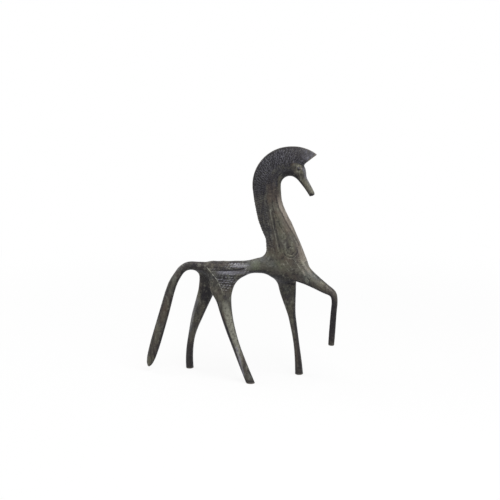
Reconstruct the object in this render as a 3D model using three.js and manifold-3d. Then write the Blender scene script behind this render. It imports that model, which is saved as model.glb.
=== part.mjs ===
// A standing bronze horse in the archaic manner: long legs, one forefoot raised, an arched neck
// under a crested mane, a slim muzzle and a hanging tail. It is put together from castings.
// Each casting carries a round tenon that enters a socket in its neighbour, and a cross pin
// locks every tenon. Three pegs hold the mane on the neck.
// Millimetres. +X to the nose, +Y to the horse's left, +Z up.

import * as THREE from "three";
import { mergeVertices } from "three/addons/utils/BufferGeometryUtils.js";
import Module from "manifold-3d";

// Trunk. Forward is measured from the seam at the loin, heights from the floor.
const LOIN_HEIGHT = 121.3;
const LOIN_DEPTH = 13.8;
const LOIN_WIDTH = 15;
const RUMP_LENGTH = 53;
const RUMP_DEPTH = 25;
const RUMP_WIDTH = 19;
const CHEST_FORWARD = 40;
const CHEST_DEPTH = 45;
const CHEST_WIDTH = 26;
const CHEST_DROP = 14.5;

// Neck and mane. The arch is a ring round the throat. Rises are measured from the loin.
const ARCH_FORWARD = 43.2;
const ARCH_RISE = 87;
const ARCH_START = 188;
const ARCH_END = 44;
const CREST_RADIUS = 40.7;
const THROAT_RADIUS = 11;
const CREST_WIDTH = 8;
const NECK_WIDTH = 17;
const NECK_BASE_WIDTH = 20;
const NECK_SEAM_FORWARD = 31.2;
const NECK_SEAM_RISE = 37.6;
const NECK_SEAM_DEPTH = 32.4;
const NECK_SEAM_LEAN = 17.8;
const NECK_SWAY = 2.6;
const NECK_OVERLAP = 9;
const MANE_DEPTH = 12.4;
const MANE_STEP = 0.9;
const VISOR_START = 58;
const VISOR_SLOPE = 37.5;
const VISOR_LIFT = 1.8;

// Head
const FACE_FORWARD = 22.4;
const FACE_DROP = 29.3;
const BROW_DEPTH = 16;
const BROW_WIDTH = 14.6;
const CHEEK_DEPTH = 8.3;
const CHEEK_WIDTH = 10.4;
const MUZZLE_DEPTH = 5.8;
const MUZZLE_WIDTH = 6.8;
const EAR_LENGTH = 7;
const EAR_WIDTH = 3.6;
const EYE_DIAMETER = 4.6;

// Legs. A reach is where the middle of the foot stands, forward of the loin seam.
const HIND_STANCE = 41.6;
const FORE_STANCE = 38.2;
const HIP_SPREAD = 9;
const HIP_DROP = 7.2;
const HAUNCH_DEPTH = 34;
const HAUNCH_WIDTH = 14;
const THIGH_DEPTH = 16.7;
const HIND_SHANK_DEPTH = 10.8;
const HIND_CANNON_DEPTH = 8;
const RIGHT_HIND_REACH = 4.2;
const LEFT_HIND_REACH = -71.4;
const LEFT_FORE_REACH = 50.8;
const FORE_SHANK_DEPTH = 7.7;
const FORE_CANNON_DEPTH = 6;
const FOOT_DEPTH = 8.5;
const FOOT_WIDTH = 8.6;
const KNEE_FORWARD = 89.2;
const KNEE_DROP = 22.6;
const ARM_DEPTH = 12.7;
const ARM_WIDTH = 11.5;
const RAISED_CANNON_LENGTH = 55.2;
const RAISED_CANNON_DEPTH = 6.1;

// Tail
const TAIL_ROOT_DEPTH = 9.2;
const TAIL_DEPTH = 11.1;
const TAIL_WIDTH = 8.6;
const TAIL_BACK = 112.8;
const TAIL_TIP_HEIGHT = 5.6;
const TAIL_SET_DROP = 1.4;
const TAIL_BEND_BACK = 27.8;
const TAIL_BEND_DROP = 21.5;

// Joinery
const SEAM_GAP = 0.3;
const CLEARANCE = 0.3;
const LOIN_TENON = 7;
const LOIN_TENON_LENGTH = 12;
const NECK_TENON = 9;
const NECK_TENON_LENGTH = 13;
const HEAD_TENON = 6;
const HEAD_TENON_LENGTH = 9;
const LEG_TENON = 6.2;
const LEG_TENON_LENGTH = 11;
const TAIL_TENON = 4.4;
const TAIL_TENON_LENGTH = 8;
const PIN_DIAMETER = 2.2;
const PIN_RECESS = 1.2;
const PEG_DIAMETER = 3;
const PEG_LENGTH = 10;

// Fineness of the surfaces
const BODY_CORNERS = 24;
const LIMB_CORNERS = 18;
const ROUND_CORNERS = 16;
const FAR = 600;

const ACROSS = new THREE.Vector3(0, 1, 0);
const UP = new THREE.Vector3(0, 0, 1);
const AHEAD = new THREE.Vector3(1, 0, 0);
const MANE_SEAM_RADIUS = CREST_RADIUS - MANE_DEPTH;

const wasm = await Module();
wasm.setup();

const radians = THREE.MathUtils.degToRad;

// A place in the horse's frame.
const place = (forward, side, up) => new THREE.Vector3(forward, side, up);

// A place some way from another.
const from = (point, way, distance) => point.clone().addScaledVector(way, distance);

// A closed geometry as a solid that can be joined and cut.
function solid(geometry) {
  const bare = geometry.clone();
  bare.deleteAttribute("normal");
  bare.deleteAttribute("uv");
  const merged = mergeVertices(bare, 1e-4);
  const corners = merged.index.array;
  const faces = [];
  for (let at = 0; at < corners.length; at += 3) {
    const [a, b, c] = corners.slice(at, at + 3);
    if (a !== b && b !== c && c !== a) faces.push(a, b, c);
  }
  const mesh = new wasm.Mesh({
    numProp: 3,
    vertProperties: merged.attributes.position.array,
    triVerts: new Uint32Array(faces),
  });
  return new wasm.Manifold(mesh);
}

// A solid as a named mesh.
function piece(name, shape, colour, roughness) {
  const found = shape.getMesh();
  const geometry = new THREE.BufferGeometry();
  geometry.setAttribute("position", new THREE.BufferAttribute(found.vertProperties, 3));
  geometry.setIndex(new THREE.BufferAttribute(found.triVerts, 1));
  geometry.computeVertexNormals();
  const material = new THREE.MeshStandardMaterial({ color: colour, roughness, metalness: 0.9 });
  const mesh = new THREE.Mesh(geometry, material);
  mesh.name = name;
  return mesh;
}

// Everything on the side of a plane that its normal points to.
function beyond(point, normal) {
  const turn = new THREE.Quaternion().setFromUnitVectors(UP, normal);
  const box = new THREE.BoxGeometry(FAR, FAR, FAR).translate(0, 0, FAR / 2);
  return solid(box.applyQuaternion(turn).translate(point.x, point.y, point.z));
}

// A round bar between two points.
function bar(start, end, diameter) {
  const run = end.clone().sub(start);
  const turn = new THREE.Quaternion().setFromUnitVectors(ACROSS, run.clone().normalize());
  const rod = new THREE.CylinderGeometry(diameter / 2, diameter / 2, run.length(), ROUND_CORNERS);
  const middle = start.clone().lerp(end, 0.5);
  return solid(rod.applyQuaternion(turn).translate(middle.x, middle.y, middle.z));
}

// A rounded boss, given its full size each way and its tilt in profile.
function boss(middle, length, width, height, tilt) {
  const ball = new THREE.SphereGeometry(0.5, 10, 6).rotateX(Math.PI / 2);
  ball.scale(length, width, height).rotateY(tilt);
  return solid(ball.translate(middle.x, middle.y, middle.z));
}

// A smooth run through a few sizes that are spaced evenly along a limb.
function profile(sizes) {
  const curve = new THREE.CatmullRomCurve3(sizes.map((size) => place(size, 0, 0)));
  return (share) => curve.getPoint(share).x;
}

// The closed skin over a row of oval sections. Each section may be narrower on its crest side.
function skin(sections, corners, crestShare) {
  const points = [];
  const faces = [];
  for (const { middle, along, depth, width } of sections) {
    const crest = along.clone().cross(ACROSS).normalize();
    for (let corner = 0; corner < corners; corner++) {
      const angle = (2 * Math.PI * corner) / corners;
      const taper = 1 - (1 - crestShare) * ((1 + Math.cos(angle)) / 2) ** 2;
      const point = from(middle, crest, (Math.cos(angle) * depth) / 2);
      points.push(point.addScaledVector(ACROSS, (Math.sin(angle) * taper * width) / 2));
    }
  }
  const last = sections.length - 1;
  const at = (ring, corner) => ring * corners + (corner % corners);
  const [first, end] = [points.length, points.length + 1];
  points.push(sections[0].middle, sections[last].middle);
  for (let corner = 0; corner < corners; corner++) {
    for (let ring = 0; ring < last; ring++) {
      const [a, b] = [at(ring, corner), at(ring, corner + 1)];
      const [c, d] = [at(ring + 1, corner), at(ring + 1, corner + 1)];
      faces.push(a, c, b, b, c, d);
    }
    faces.push(first, at(0, corner), at(0, corner + 1));
    faces.push(end, at(last, corner + 1), at(last, corner));
  }
  return new THREE.BufferGeometry().setFromPoints(points).setIndex(faces);
}

// A limb: oval sections square to a line. Depth lies in the horse's profile, width across it.
function limb({ line, depths, widths, rings, overrun = 0, corners = LIMB_CORNERS, crestShare = 1 }) {
  const depthAt = profile(depths);
  const widthAt = profile(widths);
  const sections = [];
  for (let ring = 0; ring <= rings; ring++) {
    const share = ring / rings;
    const along = line.getTangent(share);
    sections.push({ middle: line.getPoint(share), along, depth: depthAt(share), width: widthAt(share) });
  }
  if (overrun > 0) {
    const end = sections[rings];
    sections.push({ ...end, middle: from(end.middle, end.along, overrun) });
  }
  return { line, widthAt, form: solid(skin(sections, corners, crestShare)) };
}

// A smooth line through a few places.
const through = (...places) => new THREE.CatmullRomCurve3(places);

// The trunk, from the rump to the inside of the chest.
function trunkLimb() {
  const drop = (RUMP_DEPTH - LOIN_DEPTH) / 2;
  return limb({
    line: through(
      place(-RUMP_LENGTH, 0, LOIN_HEIGHT - TAIL_SET_DROP),
      place(-RUMP_LENGTH * 0.8, 0, LOIN_HEIGHT - drop * 0.7),
      place(-RUMP_LENGTH * 0.55, 0, LOIN_HEIGHT - drop * 1.3),
      place(-RUMP_LENGTH * 0.25, 0, LOIN_HEIGHT - drop * 0.66),
      place(0, 0, LOIN_HEIGHT),
      place(CHEST_FORWARD * 0.35, 0, LOIN_HEIGHT + LOIN_DEPTH * 0.163),
      place(CHEST_FORWARD, 0, LOIN_HEIGHT + LOIN_DEPTH * 0.3),
    ),
    depths: [
      ...[0.28, 0.72, 1, 0.77].map((share) => RUMP_DEPTH * share),
      LOIN_DEPTH,
      LOIN_DEPTH * 1.21,
      LOIN_DEPTH * 1.15,
    ],
    widths: [
      ...[0.316, 0.737, 1, 0.92].map((share) => RUMP_WIDTH * share),
      LOIN_WIDTH,
      LOIN_WIDTH * 1.15,
      CHEST_WIDTH * 0.7,
    ],
    rings: 18,
    corners: BODY_CORNERS,
  });
}

// Where the neck stands on the chest, and the way it leaves.
function neckSeam() {
  const lean = radians(NECK_SEAM_LEAN);
  return {
    point: place(NECK_SEAM_FORWARD, 0, LOIN_HEIGHT + NECK_SEAM_RISE),
    along: place(-Math.sin(lean), 0, Math.cos(lean)),
  };
}

// The chest, from its rounded underside to just above the neck seam.
function chestLimb() {
  const { point, along } = neckSeam();
  const top = NECK_SEAM_DEPTH - MANE_STEP;
  const seam = from(point, AHEAD, MANE_STEP / 2);
  const drops = [1, 0.82, 0.48, 0];
  const round = drops.map((drop) => Math.sqrt(1 - 0.92 * drop));
  return limb({
    line: through(
      ...drops.map((drop) => place(CHEST_FORWARD * (1 + drop * 0.1), 0, LOIN_HEIGHT - CHEST_DROP * drop)),
      place(NECK_SEAM_FORWARD + NECK_SEAM_DEPTH * 0.16, 0, LOIN_HEIGHT + NECK_SEAM_RISE * 0.5),
      seam,
      from(seam, along, NECK_OVERLAP),
    ),
    depths: [...round.map((share) => CHEST_DEPTH * share), (CHEST_DEPTH + top) / 2, top, top],
    widths: [
      ...round.map((share) => CHEST_WIDTH * share),
      (CHEST_WIDTH + NECK_BASE_WIDTH) / 2,
      NECK_BASE_WIDTH,
      NECK_BASE_WIDTH,
    ],
    rings: 18,
    corners: BODY_CORNERS,
    crestShare: 0.7,
  });
}

// A place on the arch, at an angle up from straight ahead and a distance from its middle.
function onArch(degrees, radius) {
  const up = LOIN_HEIGHT + ARCH_RISE + radius * Math.sin(radians(degrees));
  return place(ARCH_FORWARD + radius * Math.cos(radians(degrees)), 0, up);
}

// The neck and mane together: up from the chest, then round the arch and over the brow.
function neckLimb() {
  const { point, along } = neckSeam();
  const middle = (CREST_RADIUS + THROAT_RADIUS) / 2;
  const depth = CREST_RADIUS - THROAT_RADIUS;
  const rise = (share) => from(point.clone().lerp(onArch(ARCH_START, middle), share), AHEAD, -NECK_SWAY);
  const places = [from(point, along, -NECK_OVERLAP), point, rise(0.33), rise(0.67)];
  const depths = [NECK_SEAM_DEPTH, NECK_SEAM_DEPTH, (NECK_SEAM_DEPTH + depth) / 2, depth * 0.97];
  const widths = [NECK_BASE_WIDTH, NECK_BASE_WIDTH, (NECK_BASE_WIDTH + NECK_WIDTH) / 2, NECK_WIDTH];
  const steps = 9;
  for (let step = 0; step <= steps; step++) {
    const angle = ARCH_START + ((ARCH_END - ARCH_START) * step) / steps;
    const lift = (VISOR_LIFT * Math.max(0, 90 - angle)) / (90 - ARCH_END);
    places.push(onArch(angle, middle + lift / 2));
    depths.push(depth + lift);
    widths.push(NECK_WIDTH);
  }
  return limb({
    line: through(...places),
    depths,
    widths,
    rings: 30,
    corners: BODY_CORNERS,
    crestShare: CREST_WIDTH / NECK_WIDTH,
  });
}

// Everything on the throat side of the seam between neck and mane, moved outwards by an offset.
function throatSide(offset) {
  const radius = MANE_SEAM_RADIUS + offset;
  const centre = onArch(0, 0);
  const start = onArch(ARCH_START, radius);
  const { point } = neckSeam();
  const sweep = NECK_SEAM_DEPTH * 0.62;
  const low = place(point.x - NECK_SEAM_DEPTH * 0.25 - offset, 0, point.z - sweep);
  const lowBend = place(low.x - sweep * 0.1, 0, low.z + sweep * 1.25);
  const highBend = place(start.x - sweep * 0.05, 0, start.z - sweep);
  const shape = new THREE.Shape();
  shape.moveTo(low.x, low.z);
  shape.bezierCurveTo(lowBend.x, lowBend.z, highBend.x, highBend.z, start.x, start.z);
  shape.absarc(centre.x, centre.z, radius, radians(ARCH_START), radians(20), true);
  shape.lineTo(FAR, centre.z);
  shape.lineTo(FAR, low.z);
  const slab = new THREE.ExtrudeGeometry(shape, { depth: FAR, bevelEnabled: false, curveSegments: 24 });
  return solid(slab.translate(0, 0, -FAR / 2).rotateX(Math.PI / 2));
}

// Where the head leaves the neck.
function headSeam() {
  return { point: onArch(90, (THROAT_RADIUS + MANE_SEAM_RADIUS) / 2), along: AHEAD };
}

// The face, from inside the neck down to the end of the muzzle.
function headLimb() {
  const root = headSeam().point;
  const down = (forward, drop) => place(root.x + FACE_FORWARD * forward, 0, root.z - FACE_DROP * drop);
  const rootDepth = MANE_SEAM_RADIUS - THROAT_RADIUS;
  return limb({
    line: through(
      down(-0.35, -0.02),
      root,
      down(0.32, 0.14),
      down(0.545, 0.44),
      down(0.8, 0.735),
      down(1, 1),
    ),
    depths: [rootDepth, rootDepth, BROW_DEPTH, CHEEK_DEPTH, MUZZLE_DEPTH * 1.15, MUZZLE_DEPTH],
    widths: [BROW_WIDTH, BROW_WIDTH, BROW_WIDTH, CHEEK_WIDTH, MUZZLE_WIDTH * 1.15, MUZZLE_WIDTH],
    rings: 16,
    corners: BODY_CORNERS,
  });
}

// Both ears and both eyes.
function earsAndEyes() {
  const root = headSeam().point;
  const bosses = [];
  for (const side of [-1, 1]) {
    const ear = place(root.x + BROW_WIDTH * 0.205, side * BROW_WIDTH * 0.44, root.z + BROW_WIDTH * 0.233);
    bosses.push(boss(ear, EAR_WIDTH, EAR_WIDTH, EAR_LENGTH, radians(-20)));
    const eye = place(root.x + FACE_FORWARD * 0.455, side * BROW_WIDTH * 0.38, root.z - FACE_DROP * 0.035);
    bosses.push(boss(eye, EYE_DIAMETER, EYE_DIAMETER * 0.7, EYE_DIAMETER * 0.75, radians(40)));
  }
  return bosses.reduce((all, next) => all.add(next));
}

// A standing leg from inside the body down to a foot that is cut off level with the floor.
function legLimb(hip, bend, hock, foot, depths, widths) {
  const line = new THREE.CubicBezierCurve3(hip, bend, hock, foot);
  const leg = limb({ line, depths, widths, rings: 20, overrun: FOOT_DEPTH });
  return { ...leg, form: leg.form.subtract(beyond(place(0, 0, 0), place(0, 0, -1))) };
}

const HIP_HEIGHT = LOIN_HEIGHT - HIP_DROP;
const HIND_WIDTHS = [HAUNCH_WIDTH * 0.6, HAUNCH_WIDTH * 0.9, FOOT_WIDTH * 1.2, FOOT_WIDTH, FOOT_WIDTH];

function rightHindLimb() {
  return legLimb(
    place(-RUMP_LENGTH * 0.52, -HIP_SPREAD / 2, HIP_HEIGHT),
    place(-RUMP_LENGTH * 0.575, -HIND_STANCE * 0.26, HIP_HEIGHT * 0.72),
    place(-RUMP_LENGTH * 0.316, -HIND_STANCE * 0.38, HIP_HEIGHT * 0.41),
    place(RIGHT_HIND_REACH, -HIND_STANCE / 2, 0),
    [HAUNCH_DEPTH, THIGH_DEPTH, HIND_SHANK_DEPTH, HIND_CANNON_DEPTH, FOOT_DEPTH],
    HIND_WIDTHS,
  );
}

function leftHindLimb() {
  return legLimb(
    place(-RUMP_LENGTH * 0.815, HIP_SPREAD / 2, HIP_HEIGHT),
    place(-RUMP_LENGTH * 0.922, HIND_STANCE * 0.26, HIP_HEIGHT * 0.7),
    place(-RUMP_LENGTH * 1.39, HIND_STANCE * 0.38, HIP_HEIGHT * 0.44),
    place(LEFT_HIND_REACH, HIND_STANCE / 2, 0),
    [
      HAUNCH_DEPTH * 0.76,
      THIGH_DEPTH,
      HIND_SHANK_DEPTH * 1.14,
      HIND_CANNON_DEPTH * 0.9,
      FOOT_DEPTH * 0.96,
    ],
    HIND_WIDTHS,
  );
}

function leftForeLimb() {
  const height = LOIN_HEIGHT - CHEST_DROP * 0.25;
  return legLimb(
    place(CHEST_FORWARD * 0.95, FORE_STANCE * 0.13, height),
    place(CHEST_FORWARD * 0.945, FORE_STANCE * 0.25, height * 0.72),
    place(LEFT_FORE_REACH * 0.967, FORE_STANCE * 0.35, height * 0.44),
    place(LEFT_FORE_REACH, FORE_STANCE / 2, 0),
    [CHEST_DEPTH * 0.52, CHEST_DEPTH * 0.37, FORE_SHANK_DEPTH, FORE_CANNON_DEPTH, FOOT_DEPTH],
    [HAUNCH_WIDTH * 0.6, ARM_WIDTH * 1.05, FOOT_WIDTH, FOOT_WIDTH * 0.78, FOOT_WIDTH],
  );
}

// The raised leg: out from the chest to the knee, then straight down to a hoof off the floor.
function rightForeLimb() {
  const side = -FORE_STANCE * 0.34;
  const thin = RAISED_CANNON_DEPTH;
  const shoulder = place(CHEST_FORWARD * 1.2, side * 0.4, LOIN_HEIGHT + KNEE_DROP * 0.053);
  const knee = place(KNEE_FORWARD, side, LOIN_HEIGHT - KNEE_DROP);
  const cannon = place(KNEE_FORWARD + thin * 0.32, side, knee.z - thin * 1.1);
  const hoof = place(KNEE_FORWARD - thin * 0.145, side, knee.z - RAISED_CANNON_LENGTH);
  const arm = (share) => shoulder.clone().lerp(knee, share);
  const shin = (share) => cannon.clone().lerp(hoof, share);
  return limb({
    line: through(shoulder, arm(0.36), arm(0.6), arm(0.8), knee, cannon, shin(0.3), shin(0.7), hoof),
    depths: [
      ...[2.12, 1.32, 1, 0.8].map((share) => ARM_DEPTH * share),
      ...[1.2, 1, 1, 1.04, 1].map((share) => thin * share),
    ],
    widths: [
      ...[0.8, 1.1, 1, 0.85].map((share) => ARM_WIDTH * share),
      ...[1.29, 1.13, 1, 1, 1].map((share) => thin * share),
    ],
    rings: 24,
  });
}

// The tail: level from the rump, over a bend, then straight down to a rounded tip.
function tailLimb() {
  const root = place(-RUMP_LENGTH - TAIL_ROOT_DEPTH * 0.435, 0, LOIN_HEIGHT - TAIL_SET_DROP);
  const bow = (back, drop) => place(root.x - TAIL_BEND_BACK * back, 0, root.z - TAIL_BEND_DROP * drop);
  const bend = bow(1, 1);
  const tip = place(-TAIL_BACK, 0, TAIL_TIP_HEIGHT);
  const hang = (share) => bend.clone().lerp(tip, share);
  return limb({
    line: through(
      from(root, AHEAD, TAIL_TENON_LENGTH * 1.5),
      root,
      bow(0.345, 0),
      bow(0.597, 0.181),
      bow(0.791, 0.512),
      bend,
      hang(0.35),
      hang(0.68),
      hang(0.88),
      hang(0.96),
      tip,
    ),
    depths: [
      ...[1, 1, 0.93, 0.88, 0.88].map((share) => TAIL_ROOT_DEPTH * share),
      ...[0.83, 0.97, 1, 0.84, 0.56, 0.15].map((share) => TAIL_DEPTH * share),
    ],
    widths: [1.1, 1.1, 1, 1, 1, 1, 1, 1, 0.85, 0.6, 0.15].map((share) => TAIL_WIDTH * share),
    rings: 30,
  });
}

// A joint: the casting beyond the seam carries a tenon back into a socket, locked by a cross pin.
function joint({ point, along }, diameter, length, width) {
  const middle = from(point, along, -length / 2);
  const half = width / 2 - PIN_RECESS;
  const deep = width / 2 + PIN_RECESS;
  const socketEnd = from(point, along, -length - CLEARANCE);
  return {
    root: beyond(point, along),
    run: beyond(from(point, along, SEAM_GAP), along.clone().negate()),
    tenon: bar(from(point, along, diameter / 2), from(point, along, -length), diameter),
    socket: bar(from(point, along, SEAM_GAP), socketEnd, diameter + 2 * CLEARANCE),
    pin: bar(from(middle, ACROSS, -half), from(middle, ACROSS, half), PIN_DIAMETER),
    hole: bar(from(middle, ACROSS, -deep), from(middle, ACROSS, deep), PIN_DIAMETER + 2 * CLEARANCE),
  };
}

// The joint at a share of a limb's length.
function limbJoint(member, share, diameter, length) {
  const seam = { point: member.line.getPoint(share), along: member.line.getTangent(share) };
  return joint(seam, diameter, length, member.widthAt(share));
}

// The part of a form that stays with the body, and the part that is cast with the tenon.
const bodyPart = (form, at) => form.subtract(at.root);
const castPart = (form, at) => form.subtract(at.run).add(at.tenon).subtract(at.hole);

// A body with the sockets and pin holes of its joints.
function socketed(form, joints) {
  return joints.reduce((left, at) => left.subtract(at.socket).subtract(at.hole), form);
}

const trunk = trunkLimb();
const chest = chestLimb();
const neckAndMane = neckLimb();
const face = headLimb();
const tailRun = tailLimb();
const rightHind = rightHindLimb();
const leftHind = leftHindLimb();
const leftFore = leftForeLimb();
const rightFore = rightForeLimb();

const loinSeam = { point: place(0, 0, LOIN_HEIGHT), along: AHEAD.clone().negate() };
const loinJoint = joint(loinSeam, LOIN_TENON, LOIN_TENON_LENGTH, LOIN_WIDTH);
const neckJoint = joint(neckSeam(), NECK_TENON, NECK_TENON_LENGTH, NECK_BASE_WIDTH);
const headJoint = joint(headSeam(), HEAD_TENON, HEAD_TENON_LENGTH, NECK_WIDTH * 0.76);
const tailJoint = limbJoint(tailRun, 0.1, TAIL_TENON, TAIL_TENON_LENGTH);
const rightHindJoint = limbJoint(rightHind, 0.21, LEG_TENON, LEG_TENON_LENGTH);
const leftHindJoint = limbJoint(leftHind, 0.21, LEG_TENON, LEG_TENON_LENGTH);
const leftForeJoint = limbJoint(leftFore, 0.17, LEG_TENON, LEG_TENON_LENGTH);
const rightForeJoint = limbJoint(rightFore, 0.16, LEG_TENON, LEG_TENON_LENGTH);

// A peg across the seam between neck and mane, and the hole for it.
function manePeg(degrees) {
  const reach = PEG_LENGTH / 2;
  const [inner, outer] = [MANE_SEAM_RADIUS - reach, MANE_SEAM_RADIUS + reach];
  return {
    peg: bar(onArch(degrees, inner), onArch(degrees, outer), PEG_DIAMETER),
    hole: bar(
      onArch(degrees, inner - CLEARANCE),
      onArch(degrees, outer + CLEARANCE),
      PEG_DIAMETER + 2 * CLEARANCE,
    ),
  };
}

const pegs = { top: manePeg(130), middle: manePeg(160), low: manePeg(190) };
const pegged = (form) => Object.values(pegs).reduce((left, { hole }) => left.subtract(hole), form);

function hindquartersForm() {
  const joined = castPart(trunk.form, loinJoint)
    .add(bodyPart(tailRun.form, tailJoint))
    .add(bodyPart(rightHind.form, rightHindJoint))
    .add(bodyPart(leftHind.form, leftHindJoint));
  return socketed(joined, [tailJoint, rightHindJoint, leftHindJoint]);
}

function forehandForm() {
  const joined = bodyPart(trunk.form, loinJoint)
    .add(bodyPart(chest.form, neckJoint))
    .add(bodyPart(leftFore.form, leftForeJoint))
    .add(bodyPart(rightFore.form, rightForeJoint));
  return socketed(joined, [loinJoint, neckJoint, leftForeJoint, rightForeJoint]);
}

function neckForm() {
  const brow = headJoint.root.intersect(beyond(onArch(0, 0), UP));
  const throat = neckAndMane.form.intersect(throatSide(-SEAM_GAP / 2)).subtract(brow);
  return pegged(socketed(castPart(throat, neckJoint), [headJoint]));
}

function maneForm() {
  const slope = radians(VISOR_SLOPE);
  const under = beyond(onArch(VISOR_START, MANE_SEAM_RADIUS), place(Math.sin(slope), 0, -Math.cos(slope)));
  const visor = under.intersect(beyond(onArch(0, 0), AHEAD));
  const crest = neckAndMane.form.subtract(throatSide(SEAM_GAP / 2)).subtract(neckJoint.run);
  return pegged(crest.subtract(visor));
}

function headForm() {
  const whole = face.form.add(earsAndEyes()).intersect(throatSide(-SEAM_GAP / 2));
  return castPart(whole, headJoint);
}

const horse = new THREE.Group();
horse.name = "bronze_horse";
horse.add(
  piece("hindquarters", hindquartersForm(), 0x5d5f56, 0.42),
  piece("forehand", forehandForm(), 0x66655c, 0.42),
  piece("neck", neckForm(), 0x6a675d, 0.4),
  piece("mane_crest", maneForm(), 0x45454a, 0.5),
  piece("head", headForm(), 0x64615a, 0.4),
  piece("left_hind_leg", castPart(leftHind.form, leftHindJoint), 0x45423f, 0.45),
  piece("right_hind_leg", castPart(rightHind.form, rightHindJoint), 0x5f5e58, 0.42),
  piece("left_foreleg", castPart(leftFore.form, leftForeJoint), 0x4b4947, 0.45),
  piece("right_foreleg", castPart(rightFore.form, rightForeJoint), 0x5a5750, 0.42),
  piece("tail", castPart(tailRun.form, tailJoint), 0x504d4a, 0.45),
  piece("loin_pin", loinJoint.pin, 0x6b5a3a, 0.4),
  piece("neck_pin", neckJoint.pin, 0x6b5a3a, 0.4),
  piece("head_pin", headJoint.pin, 0x6b5a3a, 0.4),
  piece("tail_pin", tailJoint.pin, 0x6b5a3a, 0.4),
  piece("left_hind_pin", leftHindJoint.pin, 0x6b5a3a, 0.4),
  piece("right_hind_pin", rightHindJoint.pin, 0x6b5a3a, 0.4),
  piece("left_fore_pin", leftForeJoint.pin, 0x6b5a3a, 0.4),
  piece("right_fore_pin", rightForeJoint.pin, 0x6b5a3a, 0.4),
  piece("mane_peg_top", pegs.top.peg, 0x6b5a3a, 0.4),
  piece("mane_peg_middle", pegs.middle.peg, 0x6b5a3a, 0.4),
  piece("mane_peg_low", pegs.low.peg, 0x6b5a3a, 0.4),
);

// The origin is under the middle of the horse, on the floor.
const box = new THREE.Box3().setFromObject(horse);
const middle = box.getCenter(new THREE.Vector3());
for (const mesh of horse.children) {
  mesh.geometry.translate(-middle.x, -middle.y, -box.min.z);
}

export default horse;
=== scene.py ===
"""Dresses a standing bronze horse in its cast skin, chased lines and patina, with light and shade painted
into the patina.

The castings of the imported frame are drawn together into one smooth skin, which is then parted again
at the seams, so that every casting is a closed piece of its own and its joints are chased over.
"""

import math

import bmesh
import bpy
import numpy as np
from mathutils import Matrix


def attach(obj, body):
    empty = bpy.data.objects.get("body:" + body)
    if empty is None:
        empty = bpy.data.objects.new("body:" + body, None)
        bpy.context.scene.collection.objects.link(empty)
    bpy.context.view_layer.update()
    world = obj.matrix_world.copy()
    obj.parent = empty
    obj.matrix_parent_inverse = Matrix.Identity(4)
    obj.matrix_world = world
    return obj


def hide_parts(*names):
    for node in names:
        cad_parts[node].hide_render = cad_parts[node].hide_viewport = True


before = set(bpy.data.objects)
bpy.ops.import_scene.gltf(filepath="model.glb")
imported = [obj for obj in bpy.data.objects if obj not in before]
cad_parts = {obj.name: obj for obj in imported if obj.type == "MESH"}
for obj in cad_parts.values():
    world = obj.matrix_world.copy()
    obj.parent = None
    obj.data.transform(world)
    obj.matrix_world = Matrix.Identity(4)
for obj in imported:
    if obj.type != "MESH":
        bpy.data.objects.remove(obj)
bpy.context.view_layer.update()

import openvdb
from bpy.props import FloatProperty, FloatVectorProperty, IntProperty, PointerProperty
from mathutils import Vector
from mathutils.geometry import delaunay_2d_cdt

bl_info = {
    "name": "Bronze Horse",
    "version": (1, 0, 0),
    "blender": (4, 5, 0),
    "location": "View3D > Sidebar > Bronze Horse",
    "description": "Dresses the castings of a standing bronze horse",
    "category": "Object",
}

MM = 0.001
LEGS = ("left_hind_leg", "right_hind_leg", "left_foreleg", "right_foreleg")
CASTINGS = ("hindquarters", "forehand", "neck", "mane_crest", "head", *LEGS, "tail")
FIXINGS = tuple(sorted(set(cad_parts) - set(CASTINGS)))

# How strongly dark streaks run over the bronze of each slot.
STREAKS = {
    "bronze_body": 0.7,
    "bronze_mane": 0.8,
    "bronze_legs": 0.75,
    "bronze_tail": 0.75,
    "bronze_fixing": 0.4,
}

# The arch of the neck in profile, forward and up, in millimetres.
ARCH = (53.43, 208.3)
MANE_SEAM = 28.3
MANE_LOW_ANGLE = 188.0
MANE_FOOT = (33.3, 138.8)
VISOR_ANGLE = 58.0

# Limits of the castings where a seam's plane reaches too far, in the same profile.
TAIL_SEAM_FOOT = (-46.8, 113.5)
TAIL_SEAM_RISE = 0.703
TAIL_FORWARD = -67.5
HEAD_BOTTOM = 190.0
LEFT_FORE_FRONT = 70.0

# Rounds of smoothing that the relief of the skin is measured from.
RELIEF_ROUNDS = 40

# The stage, in metres. A lamp has a place, a share of the key's power and a width.
PICTURE_MIDDLE = Vector((0.01023, 0, 0.1392))
FLOOR_REACH = 3.0
LAMPS = {"key": ((0.45, -0.55, 1.25), 1.0, 1.0), "fill": ((-0.9, 0.1, 0.9), 0.35, 0.9)}
SENSOR_WIDTH = 36.0

# The wide hollows: a share of the widest radius, and planes round each, with a place and the way in.
WIDE_HOLLOWS = (
    (0.56, ((-57, 0), (1, 0)), ((62, 120), (-0.8, 0.6)), ((0, 70), (0, 1)), ((0, 165), (0, -1))),
    (0.56, ((36, 0), (1, 0)), ((62, 0), (-1, 0)), ((0, 198), (0, 1)), ((0, 222), (0, -1))),
    (1.0, ((-16, 0), (1, 0)), ((50, 0), (-1, 0)), ((0, 74), (0, 1)), ((0, 119), (0, -1))),
    (1.0, ((60, 0), (1, 0)), ((66, 113), (0.45, 0.89)), ((92, 0), (-1, 0)), ((0, 150), (0, -1))),
)

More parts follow.
